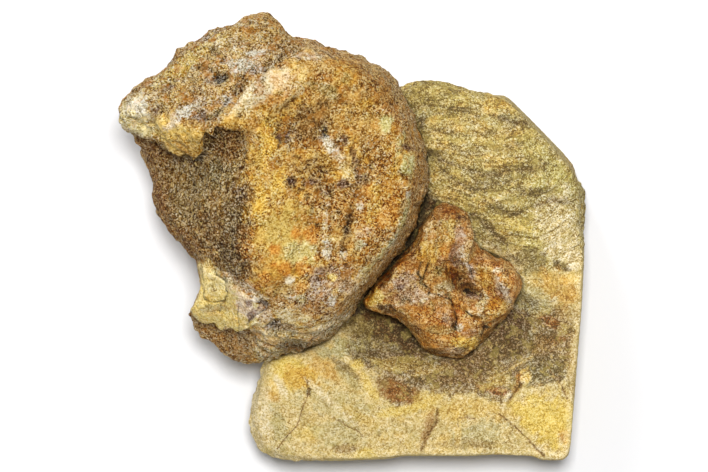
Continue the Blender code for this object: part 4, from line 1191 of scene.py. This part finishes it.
def laminated(skin):
    """1 where the beds show as fine lines, on the block's upper right, fading towards its lower shelf."""
    x, y = skin.plan.T
    return ease((y + 0.25 * (x - 60) + 14 + 3 * skin.wobble) / 18)


def natural_relief(skin, beds):
    """The block's natural surface: weathered beds, cracks, a ledge and streaks."""
    places, plan = skin.places, skin.plan
    facing = skin.facing(0.1, 0.4)
    height = 0.45 * fractal(places, 8, 301) + 0.25 * fractal(places, 2.6, 305)
    height += beds * 0.5 * bed_lines(skin, 1.5, 311)
    height += (1 - facing) * 0.8 * fractal(places * [1, 1, 2.2], 6, 315)
    for line, half_width, strength in BEDS:
        height -= 0.6 * strength * skin.stroke(line, half_width * 0.8, 0.8) * facing
    for line, half_width, depth in BLOCK_CRACKS:
        height -= 0.7 * depth * skin.stroke(line, half_width * 0.7, 0.7) * facing
    shelf = inside(plan, LEDGE + [(92, -60), (92, -95), (40, -95)], 0.9)
    height += 0.7 * shelf * facing * skin.stroke(LEDGE, 10, 0)
    x, y = plan.T
    streaks = fractal(np.column_stack([(x + y) * 0.6, (x - y) * 0.12, places[:, 2]]), 2.2, 321)
    return height + (1 - beds) * 0.35 * streaks


def block_relief(skin):
    """The block's surface: natural rock, a few knobs and pits, and smooth sides with faint saw marks."""
    sawn = sawn_side(skin)
    height = (1 - sawn) * natural_relief(skin, laminated(skin))
    for rise, oval in BLOCK_KNOBS:
        height += rise * skin.spot(*oval)
    along = 0.7 * (skin.plan[:, 0] - skin.plan[:, 1])
    saw_marks = np.sin(along * 2.2 + skin.places[:, 2] * 0.8 + 1.5 * skin.wobble)
    return height + sawn * 0.07 * saw_marks


def paint_block(skin):
    """The sandstone's colours: beds, general mottling, patches, stains and cracks, with painted shade below
    the smaller bone, in the hollow and in the groove, and edges painted paler.
    """
    sawn, beds = sawn_side(skin), laminated(skin)
    facing = skin.facing(-0.1, 0.4)
    large, middle = fractal(skin.places, 15, 331), fractal(skin.places, 5, 335)
    lines = bed_lines(skin, 1.5, 311)
    shade = inside(skin.plan, SHADE_ZONE, 1.6, 2.2 * skin.wobble + 1.5 * skin.ragged) * facing
    paint_sandstone(skin, beds, large, middle, lines)
    paint_stain_and_shade(skin, shade)
    skin.mottle("ash", beds * 0.5, -0.3, 2.0, bed_lines(skin, 1.0, 313))
    skin.mottle("umber", beds * 0.4, -0.5, -2.0, bed_lines(skin, 1.0, 317))
    skin.cover("ash", 0.15 * (1 - beds) * (1 - shade))
    skin.cover("chalk", 0.1 * (1 - shade))
    skin.patches(BLOCK_PATCHES, facing)
    paint_edges(skin, facing)
    paint_lows(skin, facing)
    paint_sawn(skin, sawn, lines, large)
    skin.cover("moss", 0.4 * ease((26 - skin.places[:, 2]) / 14) * (1 - sawn))
    skin.deepen(0.28 + 0.14 * beds + 0.15 * ease(middle))
    skin.grit = 0.36 + 0.22 * beds - 0.12 * sawn + 0.08 * large + 0.2 * shade


def paint_sandstone(skin, beds, large, middle, lines):
    """The mottling of the whole block and the thin lines of its beds."""
    places = skin.places
    skin.cover("sand", np.ones(skin.count))
    skin.mottle("olive", 0.8, 0.9 * beds - 0.05, 1.2, large)
    skin.mottle("lichen", 0.5, 0.1, 1.5, middle)
    skin.cover("cream", 0.45 * (1 - beds))
    skin.cover("chalk", 0.35 * (1 - beds))
    skin.mottle("moss", 0.25 * beds, 0.3, 1.5, middle)
    skin.mottle("ash", 0.35, -0.2, 1.6, fractal(places, 7, 343))
    skin.mottle("yellow", 0.4, -0.2, 1.6, fractal(places, 6, 347))
    skin.mottle("slate", 0.35, -0.45, 1.8, fractal(places, 2.0, 339))
    skin.mottle("slate", (0.3 + 0.7 * beds) * 0.35, -0.25, -1.9, lines)
    skin.mottle("lichen", (0.2 + 0.8 * beds) * 0.6, -0.2, 1.8, lines)


def paint_stain_and_shade(skin, shade):
    """The darker grey-brown ground around and below the smaller bone: partly iron stain, partly painted shade
    from the bone.
    """
    places = skin.places
    skin.cover("stain_and_shade", shade * 0.85)
    skin.mottle("umber", shade * 0.55, 0.1, 1.9, fractal(places, 2.6, 351))
    skin.mottle("ash", shade * 0.55, -0.2, 1.9, fractal(places, 4.5, 355))
    skin.mottle("sand", shade * 0.4, -0.3, 1.9, fractal(places, 3.5, 359))


def paint_edges(skin, facing):
    """Edges painted pale over the sawn sides and at the left end, partly the stone's own pale rim and partly
    painted light against the shade where the surface turns down; bedding lines, cracks and the ledge.
    """
    pale_edge_and_light = np.maximum(beside(skin.plan, SAWN_SIDES, 3.8, 1.8), beside(skin.plan, [LEFT_END], 7, 4))
    skin.cover("cream", pale_edge_and_light * facing * 0.35)
    skin.deepen(-0.45 * pale_edge_and_light * facing)
    for line, half_width, strength in BEDS:
        skin.cover("slate", skin.stroke(line, half_width * 2.2, 0.8) * strength * 0.5 * facing)
        skin.cover("umber", skin.stroke(line, half_width * 0.7, 0.8) * strength * 0.7 * facing)
    for line, half_width, _ in BLOCK_CRACKS:
        skin.cover("brown", skin.stroke(line, half_width * 0.9, 0.7) * 0.8 * facing)
    skin.cover("cream", skin.stroke([(x, y + 0.8) for x, y in LEDGE[:3]], 0.5) * 0.7 * facing)


def paint_lows(skin, facing):
    """The floor of the hollow and of the groove between the bones, darkened: a brown tint and painted shade,
    black in the groove.
    """
    skin.cover("umber", 0.4 * inside(skin.plan, HOLLOW_ZONE, 6) * facing)
    skin.cover("umber", 0.85 * beside(skin.plan, [GROOVE], 8, 5))
    skin.cover("black_and_shade", 0.85 * beside(skin.plan, [GROOVE], 4.5, 2.5))


def paint_sawn(skin, sawn, lines, large):
    """The sawn sides, paler and cleaner, with the beds drawn across them."""
    skin.cover("sand", sawn * 0.6)
    skin.cover("ash", sawn * 0.5)
    skin.mottle("slate", sawn * 0.4, -0.2, -1.6, lines)
    skin.mottle("ochre", sawn * 0.3, -0.2, 1.5, large)


# Materials.

def node(tree, kind, **values):
    """A shader node with its inputs set by name, and its own settings by name in lower case."""
    made = tree.nodes.new(kind)
    for name, value in values.items():
        if name[0].isupper():
            made.inputs[name.replace("_", " ")].default_value = value
        else:
            setattr(made, name, value)
    return made


def noise_at(tree, coordinates, size, detail, roughness):
    """Noise with features of the given size in millimetres."""
    made = node(tree, "ShaderNodeTexNoise", Scale=1 / size, Detail=detail, Roughness=roughness)
    tree.links.new(coordinates, made.inputs["Vector"])
    return made.outputs["Fac"]


def ranged(tree, value, low, high, start, end):
    """A value moved from one range to another and held inside it."""
    made = tree.nodes.new("ShaderNodeMapRange")
    tree.links.new(value, made.inputs["Value"])
    for name, number in (("From Min", low), ("From Max", high), ("To Min", start), ("To Max", end)):
        made.inputs[name].default_value = number
    return made.outputs["Result"]


def combined(tree, operation, first, second):
    """Arithmetic on two values, either of which may be a plain number."""
    made = tree.nodes.new("ShaderNodeMath")
    made.operation = operation
    for socket, value in zip(made.inputs, (first, second)):
        if isinstance(value, (int, float)):
            socket.default_value = value
        else:
            tree.links.new(value, socket)
    return made.outputs["Value"]


def mixed(tree, share, first, second):
    """A mix of two colours, either of which may be a named tint."""
    made = tree.nodes.new("ShaderNodeMix")
    made.data_type = "RGBA"
    tree.links.new(share, made.inputs["Factor"])
    colours = [socket for socket in made.inputs if socket.type == "RGBA"]
    for socket, value in zip(colours, (first, second)):
        if isinstance(value, str):
            socket.default_value = (*linear(value), 1)
        else:
            tree.links.new(value, socket)
    return [socket for socket in made.outputs if socket.type == "RGBA"][0]


def weighed(tree, values, weights):
    """The sum of values, each times its weight."""
    total = combined(tree, "MULTIPLY", values[0], weights[0])
    for value, weight in zip(values[1:], weights[1:]):
        total = combined(tree, "ADD", total, combined(tree, "MULTIPLY", value, weight))
    return total


def attribute(tree, name, output="Fac"):
    """One of the values stored on the mesh."""
    return node(tree, "ShaderNodeAttribute", attribute_name=name).outputs[output]


def object_millimetres(tree):
    """Places on the piece in millimetres."""
    place = tree.nodes.new("ShaderNodeTexCoord").outputs["Object"]
    scaled = node(tree, "ShaderNodeVectorMath", operation="SCALE")
    scaled.inputs["Scale"].default_value = 1 / MM
    tree.links.new(place, scaled.inputs[0])
    return scaled.outputs["Vector"]


def crisp_grains(tree, coordinates, size):
    """A repeatable number from -1 to 1 for each crisp grain, and the distance to the grain's middle."""
    grains = node(tree, "ShaderNodeTexVoronoi", Scale=1 / size)
    tree.links.new(coordinates, grains.inputs["Vector"])
    parts = tree.nodes.new("ShaderNodeSeparateColor")
    tree.links.new(grains.outputs["Color"], parts.inputs["Color"])
    return ranged(tree, parts.outputs["Red"], 0.0, 1.0, -1.0, 1.0), grains.outputs["Distance"]


def mottling(tree, coordinates, size, detail, roughness):
    """Noise from -1 to 1 with features of the given size in millimetres."""
    return ranged(tree, noise_at(tree, coordinates, size, detail, roughness), 0.3, 0.7, -1.0, 1.0)


def grain_tone(tree, millimetres, grain_size, layered):
    """How much paler, or below 0 darker, each place is than its paint, and the finest noise in that."""
    grains, _ = crisp_grains(tree, millimetres, grain_size)
    fine = mottling(tree, millimetres, grain_size * 2.6, 3.0, 0.8)
    coarse = mottling(tree, millimetres, 3.2, 4.0, 0.75)
    tone = weighed(tree, (grains, fine, coarse), (3.7, 2.4, 1.4))
    tone = combined(tree, "MULTIPLY", tone, attribute(tree, "grit"))
    tone = combined(tree, "SUBTRACT", tone, sponge_depth(tree, millimetres))
    if layered:
        tone = combined(tree, "ADD", tone, bed_tone(tree))
    return tone, fine


def grained_paint(tree, tone, dark_tint):
    """The piece's paint, bleached by pale grains and buried in the dark tint by dark ones."""
    paler = node(tree, "ShaderNodeGamma")
    tree.links.new(attribute(tree, "paint", "Color"), paler.inputs["Color"])
    light_part = combined(tree, "MAXIMUM", tone, 0.0)
    dark_part = combined(tree, "MINIMUM", tone, 0.0)
    steps = weighed(tree, (light_part, dark_part), (-0.5, -0.45))
    tree.links.new(combined(tree, "POWER", 2.0, steps), paler.inputs["Gamma"])
    buried = combined(tree, "POWER", 2.0, combined(tree, "MULTIPLY", dark_part, 0.55))
    return mixed(tree, buried, dark_tint, paler.outputs["Color"])


def spotted(tree, millimetres, colour, dark_tint, pale_tint, warm_tint):
    """A colour with ragged spots of three tints, the dark and pale ones never in the same place."""
    grit = attribute(tree, "grit")
    solid = ranged(tree, attribute(tree, "sponge"), 0.45, 0.7, 1.0, 0.2)
    spots = noise_at(tree, millimetres, 2.0, 5.0, 0.75)
    stains = noise_at(tree, millimetres, 5.0, 4.0, 0.7)
    kinds = (
        (warm_tint, stains, 0.53, 0.6, combined(tree, "MULTIPLY", grit, solid)),
        (dark_tint, spots, 0.42, 0.37, grit),
        (pale_tint, spots, 0.57, 0.62, grit),
    )
    for tint, noise, low, high, most in kinds:
        share = combined(tree, "MULTIPLY", ranged(tree, noise, low, high, 0.0, 0.7), most)
        colour = mixed(tree, share, colour, tint)
    return colour


def grainy(name, grain_size, dark_tint, pale_tint, warm_tint, roughness, shine, bump, layered=False):
    """A mineral surface: the piece's paint, broken up by crisp grains, ragged mottling and pores."""
    material = bpy.data.materials.new(name)
    material.use_nodes = True
    tree = material.node_tree
    shader = tree.nodes["Principled BSDF"]
    millimetres = object_millimetres(tree)
    tone, fine = grain_tone(tree, millimetres, grain_size, layered)
    colour = spotted(tree, millimetres, grained_paint(tree, tone, dark_tint), dark_tint, pale_tint, warm_tint)
    rough = ranged(tree, fine, -1.0, 1.0, roughness - ROUGHNESS_SPREAD, roughness + ROUGHNESS_SPREAD)
    raised = node(tree, "ShaderNodeBump", Strength=bump, Distance=GRAIN_HEIGHT)
    tree.links.new(tone, raised.inputs["Height"])
    for value, socket in ((colour, "Base Color"), (rough, "Roughness"), (raised.outputs["Normal"], "Normal")):
        tree.links.new(value, shader.inputs[socket])
    shader.inputs["Specular IOR Level"].default_value = shine
    return material


def bed_tone(tree):
    """Thin pale and dark streaks along the sandstone's beds."""
    streaks = noise_at(tree, attribute(tree, "bedding", "Vector"), 1.0, 3.0, 0.65)
    pale = ranged(tree, streaks, 0.3, 0.7, -1.0, 1.0)
    dark = ranged(tree, streaks, 0.37, 0.42, 1.0, 0.0)
    return combined(tree, "MULTIPLY", weighed(tree, (pale, dark), (1.0, -1.1)), attribute(tree, "beds"))


def sponge_depth(tree, millimetres):
    """How dark the pores of spongy bone are."""
    _, distance = crisp_grains(tree, millimetres, 1.0)
    pores = ranged(tree, distance, 0.2, 0.5, 1.0, -0.5)
    return combined(tree, "MULTIPLY", pores, attribute(tree, "sponge"))


# The pieces.

def tie(obj, node_name):
    """Ties a piece to the frame: attaches it to the root it rides on and hides the CAD node it replaces."""
    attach(obj, "root")
    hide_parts(node_name)


def make_vertebra():
    obj = fine_copy("vertebra", "vertebra_surface", VERTEBRA_MESH, 26)
    refined(obj, [line for line, _, _ in VERTEBRA_CRACKS] + CRISP_EDGES, 1.1)
    skin = Surface(obj)
    masks = vertebra_masks(skin)
    skin.raise_by(vertebra_relief(skin, masks))
    paint_vertebra(skin, masks)
    bone = grainy("petrified_bone", 0.5, "bark", "cream", "orange", 0.72, shine=0.12, bump=1.0)
    skin.show(bone)
    tie(obj, "vertebra")


def make_small_bone():
    obj = fine_copy("small_bone", "small_bone_surface", SMALL_BONE_MESH, 40)
    refined(obj, [line for line, _, _ in SMALL_BONE_CRACKS], 1.0)
    skin = Surface(obj)
    skin.raise_by(small_bone_relief(skin))
    paint_small_bone(skin)
    bone = grainy("smooth_petrified_bone", 0.47, "bark", "cream", "orange", 0.55, shine=0.22, bump=0.7)
    skin.show(bone)
    tie(obj, "small_bone")


def make_block():
    sharp_edges = SAWN_SIDES + [SAWN_SLANT]
    obj = fine_copy("sandstone_block", "sandstone_surface", BLOCK_MESH, 24, sharp_edges)
    refined(obj, [line for line, _, _ in BLOCK_CRACKS], 1.1)
    skin = Surface(obj)
    skin.raise_by(block_relief(skin))
    paint_block(skin)
    bedding = bed_places(skin, 1.1).astype(np.float32)
    obj.data.attributes.new("bedding", "FLOAT_VECTOR", "POINT").data.foreach_set("vector", bedding.ravel())
    stone = grainy("layered_sandstone", 0.46, "slate", "cream", "olive", 0.85, shine=0.22, bump=0.6,
                   layered=True)
    skin.show(stone, beds=0.15 + 0.85 * laminated(skin))
    tie(obj, "sandstone_block")


# Stage, light and camera, in metres and watts.
CAMERA_HEIGHT = 1.25
VIEW_WIDTH = 0.2832  # what the camera sees across, half way up the specimen
VIEW_LEVEL = 0.05
SENSOR_WIDTH = 36  # millimetres
FLOOR_SIZE = 8.0
FLOOR_LEVEL = -0.0003  # just below the base, so that the two never lie in one plane
FLOOR_COLOUR = (0.74, 0.74, 0.75, 1)
KEY_LAMP = {"place": (0.02, 0.16, 1.3), "size": 0.26, "power": 18.3}
RAKING_LAMP = {"place": (-0.5, 1.0, 0.7), "size": 0.35, "power": 7.0}
SURROUNDING_LIGHT = 0.3


def make_floor():
    bpy.ops.mesh.primitive_plane_add(size=FLOOR_SIZE, location=(0, 0, FLOOR_LEVEL))
    floor = bpy.context.object
    floor.name = "floor"
    material = bpy.data.materials.new("white_paper")
    material.use_nodes = True
    shader = material.node_tree.nodes["Principled BSDF"]
    shader.inputs["Base Color"].default_value = FLOOR_COLOUR
    shader.inputs["Roughness"].default_value = 1.0
    shader.inputs["Specular IOR Level"].default_value = 0.0
    floor.data.materials.append(material)


def make_lamp(name, place, size, power):
    """A soft square lamp that looks at the specimen."""
    data = bpy.data.lights.new(name, "AREA")
    data.size = size
    data.energy = power
    lamp = bpy.data.objects.new(name, data)
    lamp.location = place
    lamp.rotation_euler = (Vector((0, 0, VIEW_LEVEL)) - Vector(place)).to_track_quat("-Z", "Y").to_euler()
    bpy.context.scene.collection.objects.link(lamp)


def make_lights():
    make_lamp("key", **KEY_LAMP)
    make_lamp("rake", **RAKING_LAMP)
    world = bpy.data.worlds.new("studio")
    bpy.context.scene.world = world
    world.use_nodes = True
    background = world.node_tree.nodes["Background"]
    background.inputs["Color"].default_value = (1.0, 1.0, 1.0, 1)
    background.inputs["Strength"].default_value = SURROUNDING_LIGHT


def make_camera():
    data = bpy.data.cameras.new("camera")
    data.sensor_width = SENSOR_WIDTH
    data.lens = SENSOR_WIDTH * (CAMERA_HEIGHT - VIEW_LEVEL) / VIEW_WIDTH
    camera = bpy.data.objects.new("camera", data)
    camera.location = (DATUM[0] * MM, DATUM[1] * MM, CAMERA_HEIGHT)
    bpy.context.scene.collection.objects.link(camera)
    bpy.context.scene.camera = camera


make_camera()
make_lights()
make_floor()
make_vertebra()
make_small_bone()
make_block()
bpy.context.scene.view_settings.view_transform = "Standard"
